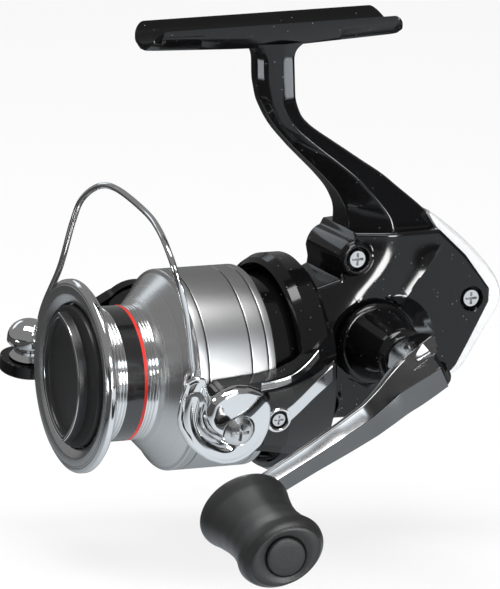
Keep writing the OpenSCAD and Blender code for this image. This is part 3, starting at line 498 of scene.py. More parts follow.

# %% [markdown]
# ## Spool
# The spool comes off a lathe in one piece: a lip, a drum for the line, a flare and a skirt that covers the rotor.
# So it is one profile turned about the axis. Its corners are eased as a lathe tool leaves them, because a sharp
# edge catches no light. The finish changes along the profile: satin lip, polished rim, grooved bands, a black
# band with a red stripe, a matt flare and a smoke-grey skirt, whose grooves are painted black as painted shade.

# %% The spool's finishes
fine_rings = {"lines": 3.0, "strength": 0.02}
glossy = {"Coat_Weight": 1.0, "Coat_Roughness": 0.05}
band_black = lathe("band_black", tone(0.006), tone(0.012), rough=0.12, **fine_rings, **glossy)
band_red = lathe("band_red", (0.7, 0.02, 0.012, 1), (0.8, 0.03, 0.016, 1), rough=0.3, **fine_rings)
matt_alloy = lathe("matt_alloy", tone(0.6), tone(0.68), rough=0.2, lines=6.0, strength=0.06, Metallic=1.0)
print("finishes so far:", len(bpy.data.materials))

# %% The spool's profile
SKIRT, DRUM = 24.0, 16.1


def groove(x, r, width=0.16, depth=0.16):
    """Three points that cut a thin turned line into a profile that runs forward at radius r."""
    return [(r, x - width), (r - depth, x), (r, x + width)]


outside = [(22.8, -42.9), (SKIRT, -42.9)]
for x in (-40.9, -36.7, -25.6):
    outside += groove(x, SKIRT)
drum = [(SKIRT, -23.2), (23, -22.9), (17.2, -17.1), (DRUM, -16.2)]
for x in (-15.4, -14.6, -13.8):
    drum += groove(x, DRUM, width=0.14, depth=0.3)
drum += [(DRUM, -13.2), (DRUM, -12.6), (DRUM, -8.2)]
for x in (-7.7, -6.9, -6.1):
    drum += groove(x, DRUM, width=0.14, depth=0.3)
drum += [(DRUM, -4.9), (17.2, -4.2)]
lip = [(22.2, -2.9), (22.4, -2.5), (23, -2.2), (23, -0.9)]
lip += [(22, -0.2), (21.7, -0.34), (21.5, -0.15), (19.5, -0.35)]
pocket = [(17.3, -1.3), (17.3, -2.7), (14.2, -3), (14.2, -9), (11.4, -9), (11.4, -17), (1.55, -17)]
inside = [(1.55, -26.6), (7, -26.6), (7, -24.6), (21.8, -24.6), (22.8, -25.6)]
profile = rounded(outside + drum + lip + pocket + inside, 0.3, 4)
print("spool profile:", len(profile), "points")

# %% The spool, with a finish for each band of its profile
ALLOY, POLISHED, BLACK, RED, MATT, SMOKE = range(6)
spool_metals = [turned_alloy, polished_alloy, band_black, band_red, matt_alloy, smoke_alloy]
FLARE_END, STRIPE_REAR, STRIPE_FRONT, BLACK_FRONT = -16.3, -13.2, -12.55, -8.2
r, x = (profile + np.roll(profile, -1, 0)).T / 2
on_drum = (r < 16.3) & (r > 15.7)
on_skirt = x < -24
zones = [
    ((r < 15.6) | (x < -42.6) | (on_skirt & (r < 23.2)), ALLOY),  # inside, and the rear edge
    (on_drum & (x > STRIPE_FRONT) & (x < BLACK_FRONT), BLACK),
    # The grooves of the skirt take the black of the band: painted shade in the grooves.
    (on_skirt & (r > 23.4) & (r < SKIRT - 0.045), BLACK),  # the grooves of the skirt
    (on_drum & (x >= STRIPE_REAR) & (x <= STRIPE_FRONT), RED),
    (on_drum & (x > FLARE_END), POLISHED),  # the grooved bands
    ((x < -23.3) & (r > 23), SMOKE),
    (x < FLARE_END, MATT),
    (x < -2.4, POLISHED),  # the back of the lip
    (r > 21.9, POLISHED),  # its rim
]
spool_skin = Skin().grid(reel(turned(profile, 256)), loop=True, finish=np.select(*zip(*zones), ALLOY))
spool_skin.piece("spool_turned", "spool", "spool_silver", spool_metals, ["spool"], 30)

# %% [markdown]
# ## Drag knob
# The knob in the nose of the spool is a black disc with a raised pointed oval to grip. Its rows are rings that
# change from circles at the rim to the oval, which is where two circles overlap, so the walls stay crisp.

# %% The drag knob


def oval(angle, reach, off):
    """Distance, in the direction of an angle, from the middle to the edge of the overlap of two circles of radius
    reach, whose middles lie off to either side."""
    c = np.abs(np.cos(angle)) * off
    return np.sqrt(c * c + reach * reach - off * off) - c


around = np.linspace(0, 2 * np.pi, 320, endpoint=False)
REACH, OFF, RIM = 16.3, 5.3, 1.5
TWIST = math.radians(9.3)
outer, inner = oval(around - TWIST, REACH, OFF), oval(around - TWIST, REACH - RIM, OFF)
rows = [(13.6, -8.4), (13.6, -2.4), (16.4, -2.4), (16.9, -1.9), (16.9, -0.7), (16.7, -0.2), (16.2, 0)]
rows += [(np.minimum(outer + 0.5, 15.9), 0), (np.minimum(outer + 0.12, 15.7), 0.1), (outer, 0.5), (outer, 1.8)]
rows += [(outer - 0.06, 2), (outer - 0.2, 2.2), (outer - 0.6, 2.3), (inner + 0.5, 2.25), (inner + 0.25, 2.15)]
rows += [(inner, 1.9), (inner - 0.1, 1.5), (inner * 0.95, 1.2)]
rows += [(inner * s, 0.85 + 0.35 * s * s) for s in (0.85, 0.7, 0.5, 0.3, 0.1)]
knob_rows = np.stack([np.stack(np.broadcast_arrays(x, r * np.cos(around), r * np.sin(around)), -1) for r, x in rows])
BRIGHT_BANDS = [11, 12, 14]  # the bevel of the oval's rim
trim = np.zeros(len(rows) - 1, int)
trim[BRIGHT_BANDS] = 1
nose = Skin().grid(reel(knob_rows), finish=trim)
nose.piece("drag_knob_oval", "drag_knob", "knob_black", [black_plastic, polished_alloy], ["drag_knob"], 40)

# %% [markdown]
# ## Gear housing
# The housing is cast in two halves that meet in the middle plane. Seen from the handle side, each half is a lid:
# an outline, and a height over every point of it. The handle axis sees the whole outline, so the lid is a polar
# grid round that axis: rays run out to the outline, roll over its edge and go down to the parting plane. On the
# left half, the height has a ridge that falls away to the front, a step that fades upwards, and a scoop beside
# the handle.

# %% Outline of the housing
boss_at, boss_r = np.array([-68.9, 26.5]), 4.6
turn = np.radians(np.arange(-40, 81, 10))
boss_arc = boss_at + boss_r * np.stack([np.cos(turn), np.sin(turn)], -1)
rear = [(-69, 32.5), (-90.4, 32.5), (-97.6, 25.9), (-104.4, 17.2), (-104.4, 14), (-101.6, 8.2), (-99, 3)]
below = [(-96.6, -1.4), (-93.4, -4.6), (-82, -11.5), (-72, -12.5), (-58.5, -12.5), (-58.5, 19), (-65.4, 21.5)]
outline = np.concatenate([boss_arc, np.array(rear + below)])
axis_point = np.array([handle_x, handle_z])
screws = np.array([boss_at, (-99.6, 15.0), (-62.4, -8.7)])
way = compass(480)
edge = reach_to(outline, axis_point, way)
print("housing outline from", round(edge.min(), 1), "to", round(edge.max(), 1), "mm from the handle axis")

# %% Heights of the two halves
ridge_z = [-8, -2, 5, 12, 18.5, 23.5, 28, 32.8]
ridge_x = [-63, -63.5, -64.5, -66.5, -70.5, -74.8, -77.8, -78.5]
THICK, FALL = 12.0, 0.3
CREASE, STEP_H, STEP_RUN, STEP_FADE = (-80.3, 14.9), 1.9, 17.0, 22.0
LIP_H, LIP_FADE = 0.95, 4.5
SCOOP, SCOOP_R, SCOOP_RISE = (-78.5, 5.0), 12.0, 1.7
RING_R, RING_H = 10.6, 11.9
PAD_R, HEAD_R, HEAD_H = 4.4, 2.75, 9.7


def soft(value, width):
    """A ramp that starts smoothly: 0 well below 0 and the value itself well above it."""
    return width * np.log1p(np.exp(np.clip(value / width, -30, 30)))


def plain_height(x, z):
    """One thickness behind the ridge, and a gentle fall in front of it."""
    level = np.linspace(-20, 40, 241)
    line = eased(np.stack([ridge_z, ridge_x], -1), level, 3.0)[:, 0]
    return THICK - FALL * soft(x - np.interp(z, level, line), 1.2)


def left_height(x, z):
    """The plain height, a step behind the slanting crease, a scoop beside the handle and flats round the screws."""
    h = plain_height(x, z)
    behind = -0.8 * (x - CREASE[0]) - 0.6 * (z - CREASE[1])
    along = -0.6 * (x - CREASE[0]) + 0.8 * (z - CREASE[1])
    depth = STEP_H * np.clip(1 - along / STEP_RUN, 0, 1) * np.exp(-np.maximum(behind, 0) / STEP_FADE)
    lip_up = LIP_H * np.exp(np.minimum(behind, 0) / LIP_FADE) * step(-4, 3, along) * (1 - step(9, 19, along))
    h = h - depth * step(-0.1, 0.8, behind) + lip_up * (1 - step(-0.1, 0.5, behind))
    near = np.hypot(x - handle_x, z - handle_z) - RING_R
    far = SCOOP_R - np.hypot(x - SCOOP[0], z - SCOOP[1])
    inside = (near > 0) & (far > 0)
    h = np.where(inside, h + SCOOP_RISE * far / np.maximum(near + far, SLACK), h)
    h = np.where(near <= 0, np.maximum(h, RING_H), h)
    for k, (sx, sz) in enumerate(screws):
        gap = np.hypot(x - sx, z - sz)
        pad = 11.5 if k == 0 else 11.2
        h = np.where(gap < PAD_R, np.maximum(h, pad - 0.9 * step(PAD_R - 0.9, PAD_R, gap)), h)
        h = h + (HEAD_H - h) * (1 - step(HEAD_R, HEAD_R + 0.2, gap))
    return h


def half(height, side, boss_top=13.6, bore=4.6, boss=7.0, root=7.1, ceiling=7.7, wall=2.0, roll=0.9):
    """The lid over the outline: bore, boss, the height out to the edge, a rounded edge, the wall, and the inside."""
    share = np.concatenate([np.linspace(0, 0.3, 16), np.linspace(0.3, 1, 96)[1:]])
    r = root + (edge - roll - root) * share[:, None]
    rows = [(r, height(*np.moveaxis(axis_point + r[..., None] * way, -1, 0)))]
    last = rows[0][1][-1]
    lean = np.linspace(0, np.pi / 2, 7)[1:, None]
    rows += [(edge - roll + roll * np.sin(lean), last - roll + roll * np.cos(lean))]
    inner = edge - wall
    rows += [(edge, 0 * edge), (inner, 0 * edge), (inner, ceiling + 0 * edge)]
    start = [(bore, ceiling), (bore, boss_top - 0.3), (bore + 0.3, boss_top)]
    start += [(boss - 0.4, boss_top), (boss, boss_top - 0.4)]
    rows = [(r0 + 0 * edge, y0 + 0 * edge) for r0, y0 in start] + rows
    r, y = (np.concatenate([np.atleast_2d(row[k]) for row in rows]) for k in (0, 1))
    return np.insert(axis_point + r[..., None] * way, 1, side * y, axis=-1)[:, ::side]


print("left half is", round(float(left_height(*CREASE)), 1), "mm thick at the crease")

# %% Left half
cover = Skin().grid(reel(half(left_height, 1)), loop=True)
cover.piece("side_cover_cast", "frame", "gloss_black", [black_lacquer], ["side_cover"], 50)

# %% [markdown]
# ## Body casting
# Foot, stem and the right half of the housing are one casting. The stem is a loft of level sections: a narrow
# front, a shoulder, a wide ridge and a rear edge on each side, with every corner eased. The foot is a trough that
# fits a round rod, deepest over the stem and thin at both ends. The front collar is turned.

# %% Stem
stem_plan = [
    (32.5, -69.3, -78.5, -91.6, 10.8), (35.5, -69.3, -77.9, -89.6, 10.4), (37.6, -68.8, -76.5, -87.4, 10),
    (40.7, -67.1, -73.9, -83.6, 9.4), (42.6, -65.6, -72.2, -81.2, 9.1), (45.6, -62.7, -69.4, -77.6, 8.6),
    (49, -59, -65.2, -72.4, 7.7), (52.1, -55.6, -61.2, -68, 6.8), (56.2, -51.6, -56.2, -62.1, 5.8),
    (57.7, -50.3, -54.6, -60, 5.5), (60.1, -48.6, -52.9, -57.6, 5.2), (64.2, -46.4, -51.1, -56, 4.9),
    (69.3, -45.2, -50.7, -55.7, 4.8), (75, -44.9, -50.4, -55.3, 4.8), (77.4, -43.9, -50.4, -56.3, 5),
    (78.2, -42.0, -50.4, -59.0, 5.4),
]
z = np.linspace(stem_plan[0][0], stem_plan[-1][0], 160)
xf, xr, xb, w = eased(stem_plan, z, 1.2).T
high = step(46.0, 62.0, z)  # the front opens to a blunter section over this stretch
near = [
    np.stack([xf, (0.42 - 0.1 * high) * w], -1),
    np.stack([xf + 0.25 * (xr - xf) * (1 - high) - 1.5 * high, (0.565 + 0.265 * high) * w], -1),
    np.stack([xr, w], -1),
    np.stack([xb + 0.9 * high, 0.7 * w], -1),
]
corners = np.stack(near + [side * (1, -1) for side in near[::-1]], 1)
ease = [0.6, 0.8, 0.9, 1.3]
level = rounded(corners, ease + ease[::-1], 7)
casting = Skin().grid(reel(np.insert(level, 2, z[:, None], axis=-1)))
print("stem:", len(casting.faces), "faces")

# %% Foot
SEAT, WIDE, FRONT, REAR, CORNER = 8.0, 7.2, 29.6, -35.8, 3.4
TILT = math.radians(1.1)
turn_in = CORNER * (1 - np.cos(np.linspace(0, np.pi / 2, 14)))
straight = np.linspace(REAR + CORNER, FRONT - CORNER, 120)[1:-1]
length = np.concatenate([REAR + turn_in, straight, FRONT - turn_in[::-1]])
from_end = np.clip(np.minimum(length - REAR, FRONT - length), 0, CORNER)
half_w = WIDE - CORNER + np.sqrt(np.maximum(CORNER**2 - (CORNER - from_end) ** 2, 0.01))
under = eased([(REAR, -8.8), (-12, -9.7), (-1, -10.1), (8, -9.8), (FRONT, -8.8)], length, 2)[:, 0]
swing = np.linspace(-1, 1, 25)
trough_y = half_w[:, None] * swing
trough = np.stack([trough_y, -np.sqrt(SEAT**2 - trough_y**2)], -1)
rim_z = trough[:, 0, 1]
flank = [(-half_w, rim_z - 0.7), (-half_w * 0.5, under + 0.3), (-half_w * 0.3, under)]
flank = np.stack([np.stack(pair, -1) for pair in flank], 1)
foot_yz = np.concatenate([flank[:, ::-1], trough, flank * (-1, 1)], 1)
fx, fy, fz = np.moveaxis(np.insert(foot_yz, 0, length[:, None], axis=-1), -1, 0)
c, s = math.cos(TILT), math.sin(TILT)
foot = np.stack([fx * c + fz * s, fy, fz * c - fx * s], -1)
casting.grid((foot * MM)[:, ::-1])
print("foot:", round(FRONT - REAR, 1), "mm long")

# %% Right half and collar
casting.grid(reel(half(plain_height, -1)), loop=True)
collar = [(10.6, -62), (15.6, -62), (16, -61.6), (16, -56.6), (15.6, -56.2)]
collar += [(13, -56), (13, -43.7), (12.7, -43.4), (10.6, -43.4)]
casting.grid(reel(turned(rounded(collar, 0.2, 3), 128)), loop=True)
casting.piece("body_cast", "frame", "gloss_black", [black_lacquer], ["body"], 42)

# %% [markdown]
# ## Rear guard
# A pale bumper runs round the back of the housing. Its section is a rounded bar whose inner side follows the
# housing and whose outer side swells at the corner.

# %% The guard
guard_plan = [
    (-88.6, 35.6, -88.8, 36.6), (-91.2, 31.9, -93.6, 33.2), (-97.2, 26.1, -99.8, 28), (-103.9, 17.2, -105.2, 22.4),
    (-104, 14.1, -108.4, 17.6), (-101.2, 8.2, -108.8, 13.2), (-98.6, 3.1, -105.2, 7.1), (-96.2, -1.2, -101.2, 0.4),
    (-94.4, -3.4, -98.4, -3.2), (-92.8, -4.8, -93.2, -5.8),
]
near, far = np.split(smooth(guard_plan, 120), 2, axis=1)
BAR = 9.0
bar_corners = [(near, -BAR), (far, -BAR), (far, BAR), (near, BAR)]
bar = np.stack([np.insert(path, 1, y, axis=-1) for path, y in bar_corners], 1)
guard = Skin().grid(reel(rounded(bar, [0.3, 1.6, 1.6, 0.3], 7)))
guard.piece("rear_guard_bar", "frame", "guard_silver", [pale_guard], ["rear_guard"], 45)
head_at, inward = np.array([-103.6, -4.5, 4.3]), np.array([0.86, 0, 0.51])
screw_way = head_at + np.array([-0.35, -0.2, 4.0])[:, None] * inward
screw_rings = tube(screw_way, [0.7, 0.95, 0.95], 20, (0, 1, 0))
Skin().grid(reel(screw_rings)).piece("guard_screw_head", "frame", "steel", [nickel], ["guard_screw"])

# %% [markdown]
# ## Bail
# The wire arch starts in a chrome casting on the near arm and ends in a chrome dome on the far arm, over the line
# roller. The casting is one polished form: a broad dome, a horn that curls round it from the wire's socket, and a
# valley between the two. So it is a lid again: an outline, and over every point of it a height, which is a dome,
# plus a bell-shaped ridge along one path, minus a bell-shaped valley along another.

# %% Wire
ARM = 29.2
wire_plan = [
    (-18.7, 0.925, 8), (-18.7, 0.925, 12), (-18, 0.911, 16.5), (-15.6, 0.89, 27.5), (-12.8, 0.849, 36),
    (-11.8, 0.702, 40.8), (-12.8, 0.411, 42.4), (-13.7, 0.068, 42.4), (-13, -0.445, 41.6), (-11.4, -0.685, 39.6),
    (-9.4, -0.842, 34.4), (-8.2, -0.89, 27.5), (-6.8, -0.918, 16), (-5, -0.99, 6), (-4.4, -1.007, 1),
    (-4.4, -1.007, -2.6),
]
arch = Skin().grid(turning(tube(smooth(np.array(wire_plan) * (1, ARM, 1), 400), 0.75, 20)))
arch.piece("bail_wire_arch", "bail", "chrome", [chrome], ["bail_wire"], 60)

# %% Outline and heights of the near casting


def on_arm(points):
    """The near pivot's frame: along the axis, away from the axis, and up."""
    return turning(np.asarray(points, float) + (pivot_x, 0, 0))


def from_path(x, z, path, count=80):
    """Distance of points from a smooth path, and how far along it the nearest place is, from 0 to 1."""
    line = smooth(path, count)
    gap = np.hypot(x[..., None] - line[:, 0], z[..., None] - line[:, 1])
    return gap.min(-1), gap.argmin(-1) / (count - 1)


comma = [
    (-8.9, 2.7), (-8.2, 6), (-5.8, 8.8), (-2.4, 10.3), (1.2, 10.6), (4.5, 9.4), (6.6, 7.9), (7.4, 8.2), (8.3, 10.2),
    (8.6, 12.2), (9.4, 13.2), (11.6, 13.4), (13.2, 12.3), (14.6, 8), (15, 3.6), (14.4, 0.8), (13, -1.5), (11.4, -4),
    (9.1, -6.1), (6, -8.2), (2, -9.6), (-1.5, -9.5), (-4.5, -8.2), (-7.6, -5.3), (-8.8, -1.5),
]
horn = [(10.9, 13), (12.4, 9), (12.8, 4), (11.6, 0), (9, -3.8), (5.4, -6.4), (1.4, -7.4), (-2.6, -6.8), (-5.6, -4.4)]
valley = [(8.2, 9.4), (8.8, 6), (8.9, 3), (7.4, -0.2), (4.6, -2.4), (1.6, -3.6), (-1.2, -3.8)]
middle_of = np.array([7.2, 1.0])
CAST_RAYS = 360
way = compass(CAST_RAYS)
rim = reach_to(rounded(comma, 0.9, 5), middle_of, way)
UNDER, ROLL = ARM + 1.8, 1.5
DOME, DOME_H, DOME_SPAN = (0.4, 2.4), 2.7, 125
HORN_H, HORN_W, VALLEY_H, VALLEY_W = 1.0, 2.0, 1.9, 1.25
POCKET, POCKET_H = (3.7, 4.05), 4.0


def cast_height(x, z):
    """Dome, horn and valley, with a flat pocket for the screw on the pivot."""
    h = ARM + 3.0 + DOME_H * (1 - ((x - DOME[0]) ** 2 + (z - DOME[1]) ** 2) / DOME_SPAN)
    gap, along = from_path(x, z, horn)
    h = h + HORN_H * np.exp(-((gap / HORN_W) ** 2)) * (1 - step(0.7, 1.0, along))
    gap, along = from_path(x, z, valley)
    h = h - VALLEY_H * np.exp(-((gap / VALLEY_W) ** 2)) * (1 - step(0.72, 1.0, along))
    return h + (ARM + POCKET_H - h) * (1 - step(*POCKET, np.hypot(x, z)))


print("near casting reaches", round(rim.max(), 1), "mm from its middle")

# %% Near casting
reach = (rim - ROLL) * np.linspace(0.01, 1, 120)[:, None]
flat = middle_of + reach[..., None] * way
top = cast_height(flat[..., 0], flat[..., 1])
lean = np.linspace(0, np.pi / 2, 9)[1:, None]
reach = np.concatenate([reach, rim - ROLL + ROLL * np.sin(lean), [rim, rim - 0.3, rim * 0.01]])
drop = np.maximum(top[-1] - UNDER - 0.3, 0.5)
under = np.repeat([[UNDER + 0.25], [UNDER], [UNDER]], CAST_RAYS, 1)
level = [top, top[-1] - drop * (1 - np.cos(lean)), under]
flat = middle_of + reach[..., None] * way
holder = Skin().grid(on_arm(np.insert(flat, 1, np.concatenate(level), axis=-1)))
washer = [(2.65, 29.6), (8.2, 29.6), (8.5, 29.9), (8.5, 31.4), (2.65, 31.4)]
holder.grid(on_arm(upright(rounded(washer, 0.15, 3), 128)), loop=True)
socket = smooth([(10.3, 27.2, 12.2), (10.4, 27.3, 10.4), (10.7, 28.6, 8.8), (11, 31, 7.8), (11.1, 32, 7.6)], 40)
girth = eased([(0, 1.5), (0.1, 1.8), (0.5, 2.2), (1, 2.3)], np.linspace(0, 1, 40), 0.05)[:, 0]
holder.grid(on_arm(tube(socket, girth, 28)))
holder.piece("bail_holder_cast", "bail", "chrome", [chrome], ["bail_holder"], 50)

# %% Far dome
roller_at = np.array([-2.4, -ARM - 0.8, -7.2])
arc = np.radians(np.arange(0, 86, 6))
CAP_R, CAP_H = 5.4, 4.6
cap_profile = [(1.5, 1.9), (5.2, 1.9), (CAP_R, 2.1), (CAP_R, 3)]
cap_profile += [(CAP_R * math.cos(a), 3.1 + CAP_H * math.sin(a)) for a in arc]
dome = turned(cap_profile, 96)[:, ::-1, [2, 1, 0]] * (1, -1, 1)
far_dome = Skin().grid(turning(dome + roller_at))
far_dome.piece("wire_cone_dome", "bail", "chrome", [chrome], ["wire_cone"], 50)

# %% [markdown]
# ## Handle
# A black cone stands on the side of the housing. The dark arm hinges on it, so that the handle folds, and carries a
# soft oval knob. The arm's bar is a section carried along it: a ridge runs along the outer side, one facet looks up
# and catches the light, and one looks down. The head is two cheeks beside the tongue of the cone, and a roof that
# joins them; one plane cuts its outer corner to a flat.

# %% Cone and tongue
FOLD = 38.0
cone_way = [
    (2.9, 14), (9.8, 14), (9.8, 15), (9.3, 15.7), (8.9, 15.7), (8.7, 16.3), (6.7, 28), (6.7, 29.2), (6.2, 29.8),
    (5.6, 31.4), (0.02, 31.4), (0.02, 26), (2.9, 26),
]
cone = Skin().grid(crank(upright(rounded(cone_way, 0.3, 4), 160)), loop=True)
TONGUE, TONGUE_FOOT, TONGUE_MIDDLE = 4.2, 31.2, (0, 36)
bend = np.radians(np.arange(0, 181, 9))
top_arc = np.stack([TONGUE * np.cos(bend), FOLD + TONGUE * np.sin(bend)], -1)
tongue = np.concatenate([[(TONGUE, TONGUE_FOOT)], top_arc, [(-TONGUE, TONGUE_FOOT)]])
shrink, level = np.array([(0.95, -2.5), (1, -2.2), (1, 2.2), (0.95, 2.5)]).T[..., None]
ring = TONGUE_MIDDLE + (tongue - TONGUE_MIDDLE) * shrink[..., None]
cone.grid(crank(np.insert(ring, 2, level, axis=-1)))
cone.piece("handle_cone", "crank", "gloss_black", [black_lacquer], ["handle_boss"], 40)

# %% Bar of the arm
ARM_LEN = 57.4
bar_plan = [
    (-2.1, 44.9, 44.4, 40.7, 43.2, 40.4, 42.85, 5.7, 0), (2, 45.57, 45, 41.4, 43.2, 41, 42.85, 5.7, 0.05),
    (4.8, 46, 45.3, 42.3, 42.2, 41.6, 41.8, 5.65, 0.1), (6, 46.2, 45.5, 42.8, 40.6, 40.6, 39.6, 5.6, 0.12),
    (10, 46.8, 46.1, 44.4, 42.4, 42.4, 40.6, 5.2, 0.2), (14, 48.2, 47.5, 46.4, 44.8, 44.8, 43.4, 4.8, 0.2),
    (20, 49.9, 48.9, 48.7, 47.3, 47.3, 46.1, 4.4, 0.2), (28, 50.3, 49.2, 49.2, 47.9, 47.9, 46.9, 4, 0.2),
    (37, 50.1, 49, 49, 47.8, 47.8, 46.8, 3.6, 0.2), (46, 49.9, 48.9, 48.9, 47.7, 47.7, 46.7, 3.4, 0.2),
    (57.4, 49.6, 48.9, 48.9, 47.6, 47.6, 46.8, 3.2, 0.2),
]
u = np.linspace(bar_plan[0][0], ARM_LEN + 2.6, 160)
ridge, low_edge, up_edge, low_inner, up_inner, face, wide, side_of = eased(bar_plan, u, 1.2).T
wide = wide * np.sqrt(1 - (np.maximum(u - ARM_LEN + 0.4, 0) / 3.4) ** 2)
corners = [
    (face, -0.7), (low_inner, -1), (low_edge, -0.97), (ridge, side_of), (up_edge, 0.97), (up_inner, 1), (face, 0.7),
]
section = np.stack([np.stack([level, side * wide], -1) for level, side in corners], 1)
section = rounded(section, [0.5, 0.3, 0.35, 0.3, 0.35, 0.3, 0.5], 5)
arm = Skin().grid(crank(np.insert(section, 0, u[:, None], axis=-1)))
print("bar of the arm:", len(arm.faces), "faces")

# %% Head of the arm
head_plan = [
    (5.4, 35), (7.2, 38.2), (8.6, 40), (8.6, 44.2), (4, 44.3), (-1, 44.4), (-3.6, 42.9), (-5.2, 40.6), (-6, 38),
    (-5.2, 35), (-3, 32.8), (0, 32), (3, 32.8),
]
pin = np.array([0, FOLD])
HEAD_RAYS, WALL_ROWS, FACE_ROWS = 240, 14, 40
way = compass(HEAD_RAYS)
rim = reach_to(rounded(head_plan, 1.4, 5), pin, way)
FACE, FACE_AT = np.array([-0.1745, 0.781, 0.6006]), 35.43
BORE, CHAMFER, EASE, CHEEK, SLOT = 1.5, 0.2, 0.7, 5.8, 2.75


def flattened(p):
    """Points beyond the cutting plane come back to it, straight along its normal."""
    return p - np.maximum(p @ FACE - FACE_AT, 0)[..., None] * FACE


def cheek(side):
    """A bore, the outer face, a rounded edge and the wall, round the pin."""
    share = np.linspace(0, 1, FACE_ROWS)[:, None]
    lean = np.linspace(0, np.pi / 2, 6)[1:, None]
    face = BORE + CHAMFER
    reach = [np.full((2, HEAD_RAYS), BORE), face + (rim - EASE - face) * share, rim - EASE + EASE * np.sin(lean)]
    reach = np.concatenate([*reach, np.repeat(rim[None], WALL_ROWS, 0)])
    p = pin + reach[..., None] * way
    top = CHEEK - 0.6 * step(2, 10, p[..., 0])
    edge = EASE * (1 - np.cos(lean[:, 0]))
    low = np.concatenate([[CHEEK - SLOT, 0.3], np.zeros(FACE_ROWS), edge, np.zeros(WALL_ROWS)])
    level = top - low[:, None]
    wall = top[-WALL_ROWS:] - EASE
    level[-WALL_ROWS:] = wall + (SLOT - wall) * np.linspace(0.05, 1, WALL_ROWS)[:, None]
    p = np.insert(p, 2, level, axis=-1)
    p = flattened(p) if side > 0 else p * (1, 1, -1)
    return p[:, ::side]


for side in (1, -1):
    arm.grid(crank(cheek(side)), loop=True)
sweep = np.r_[228:HEAD_RAYS, 0:84]
ROOF, ROOF_H = TONGUE + 0.45, 2.8
reach = ROOF + (rim[sweep] - ROOF) * np.linspace(0, 1, 12)[:, None]
flat = pin + reach[..., None] * way[sweep]
sheet = [np.insert(flat, 2, level, axis=-1) for level in (-ROOF_H, 0, ROOF_H)]
around_it = np.concatenate([sheet[0], sheet[1][-1:], sheet[2][::-1], sheet[1][:1]])
arm.grid(crank(flattened(around_it)).swapaxes(0, 1)[:, ::-1])
end = rounded([(2, -1.3), (3.3, -1.3), (3.6, -1), (3.6, 1), (3.3, 1.3), (2, 1.3)], 0.15, 3)
arm.grid(grip(upright(end, 64)), loop=True)
arm.piece("handle_arm_bar", "arm", "gunmetal", [graphite], ["handle_arm"], 30)

# %% [markdown]
# ## Knob
# The grip is soft rubber: ovals whose two half widths follow the length, from a shoulder near the arm over a long
# waist to a flared end. The end is dished, and a groove runs round its cap.

# %% The grip
FROM, LONG = 1.7, 36.5
knob_plan = [
    (0, 0.9, 0.9), (0.04, 1.05, 0.97), (0.1, 1.05, 0.95), (0.2, 0.98, 0.86), (0.38, 0.885, 0.845), (0.55, 0.855, 0.815),
    (0.72, 0.9, 0.835), (0.86, 1, 0.9), (0.95, 0.95, 0.86), (1, 0.78, 0.73),
]
NECK, FLARE, NECK_ROWS = 0.06, 0.8, 12
share = [np.linspace(0, NECK, NECK_ROWS), np.linspace(NECK, FLARE, 70)[1:], np.linspace(FLARE, 0.985, 30)[1:]]
share = np.concatenate(share)
widths = eased(knob_plan, share, 0.025) * (10.4, 8.4)
widths[:NECK_ROWS] *= np.sqrt(1 - 0.1 * (1 - share[:NECK_ROWS, None] / NECK) ** 2)
high = FROM + (LONG - FROM) * share
roll = np.linspace(0, np.pi / 2, 10)[1:]
dish = [
    (6.4, 5.9, 0.05), (5.7, 5.6, 0.2), (5.2, 5.2, 0.35), (4.85, 4.85, 0.45), (4.75, 4.75, 0.65), (4.75, 4.75, 1.2),
    (4.75, 4.75, 1.5),
]
dish_a, dish_b, sunk = np.array(dish).T
a = np.concatenate([widths[:, 0], widths[-1, 0] - 1.6 * (1 - np.cos(roll)), dish_a])
b = np.concatenate([widths[:, 1], widths[-1, 1] - 0.4 * (1 - np.cos(roll)), dish_b])
y = np.concatenate([high, high[-1] + (LONG - sunk[0] - high[-1]) * np.sin(roll), LONG - sunk])
grip_rows = np.insert(np.stack([a, b], -1)[:, None] * compass(144), 1, y[:, None], axis=-1)
knob_skin = Skin().grid(grip(grip_rows[:, ::-1]))
knob_skin.piece("knob_grip", "knob", "soft_black", [soft_rubber], ["knob"], 60)
cap_way = [(0.02, 34), (4.55, 34), (4.55, 36.4), (4.2, 36.7), (2.5, 36.78), (0.02, 36.8)]
cap = Skin().grid(grip(upright(rounded(cap_way, 0.12, 3, closed=False), 72)))
cap.piece("knob_cap_disc", "knob", "soft_black", [soft_rubber], ["knob_cap"], 50)

# %% [markdown]
# ## Bright inlays on the near rotor arm
# A bright strip follows the upper edge of the arm, and a broader trim runs from a ring round the arm's screw to
# the root of the arm. Both lie on the arm's turned surface: a plate between two paths, lifted a little above it.

# %% Inlays


def inlay(upper, lower, front_r, root_r, lift=0.15, sink=-0.4):
    """A thin plate between two paths given along the axis and up: each point sits at the radius that the arm has there,
    which narrows evenly behind the bend of the arm."""

    def laid(path, rise):
        x, z = smooth(path, 60).T
        r = np.interp(x, [-57.5, -44.0], [root_r, front_r])
        return np.stack([x, np.sqrt(r * r - z * z) + rise, z], -1)

    sides = [laid(lower, lift), laid(upper, lift), laid(upper, sink), laid(lower, sink)]
    return turning(rounded(np.stack(sides, 1), 0.1, 2))[:, ::-1]


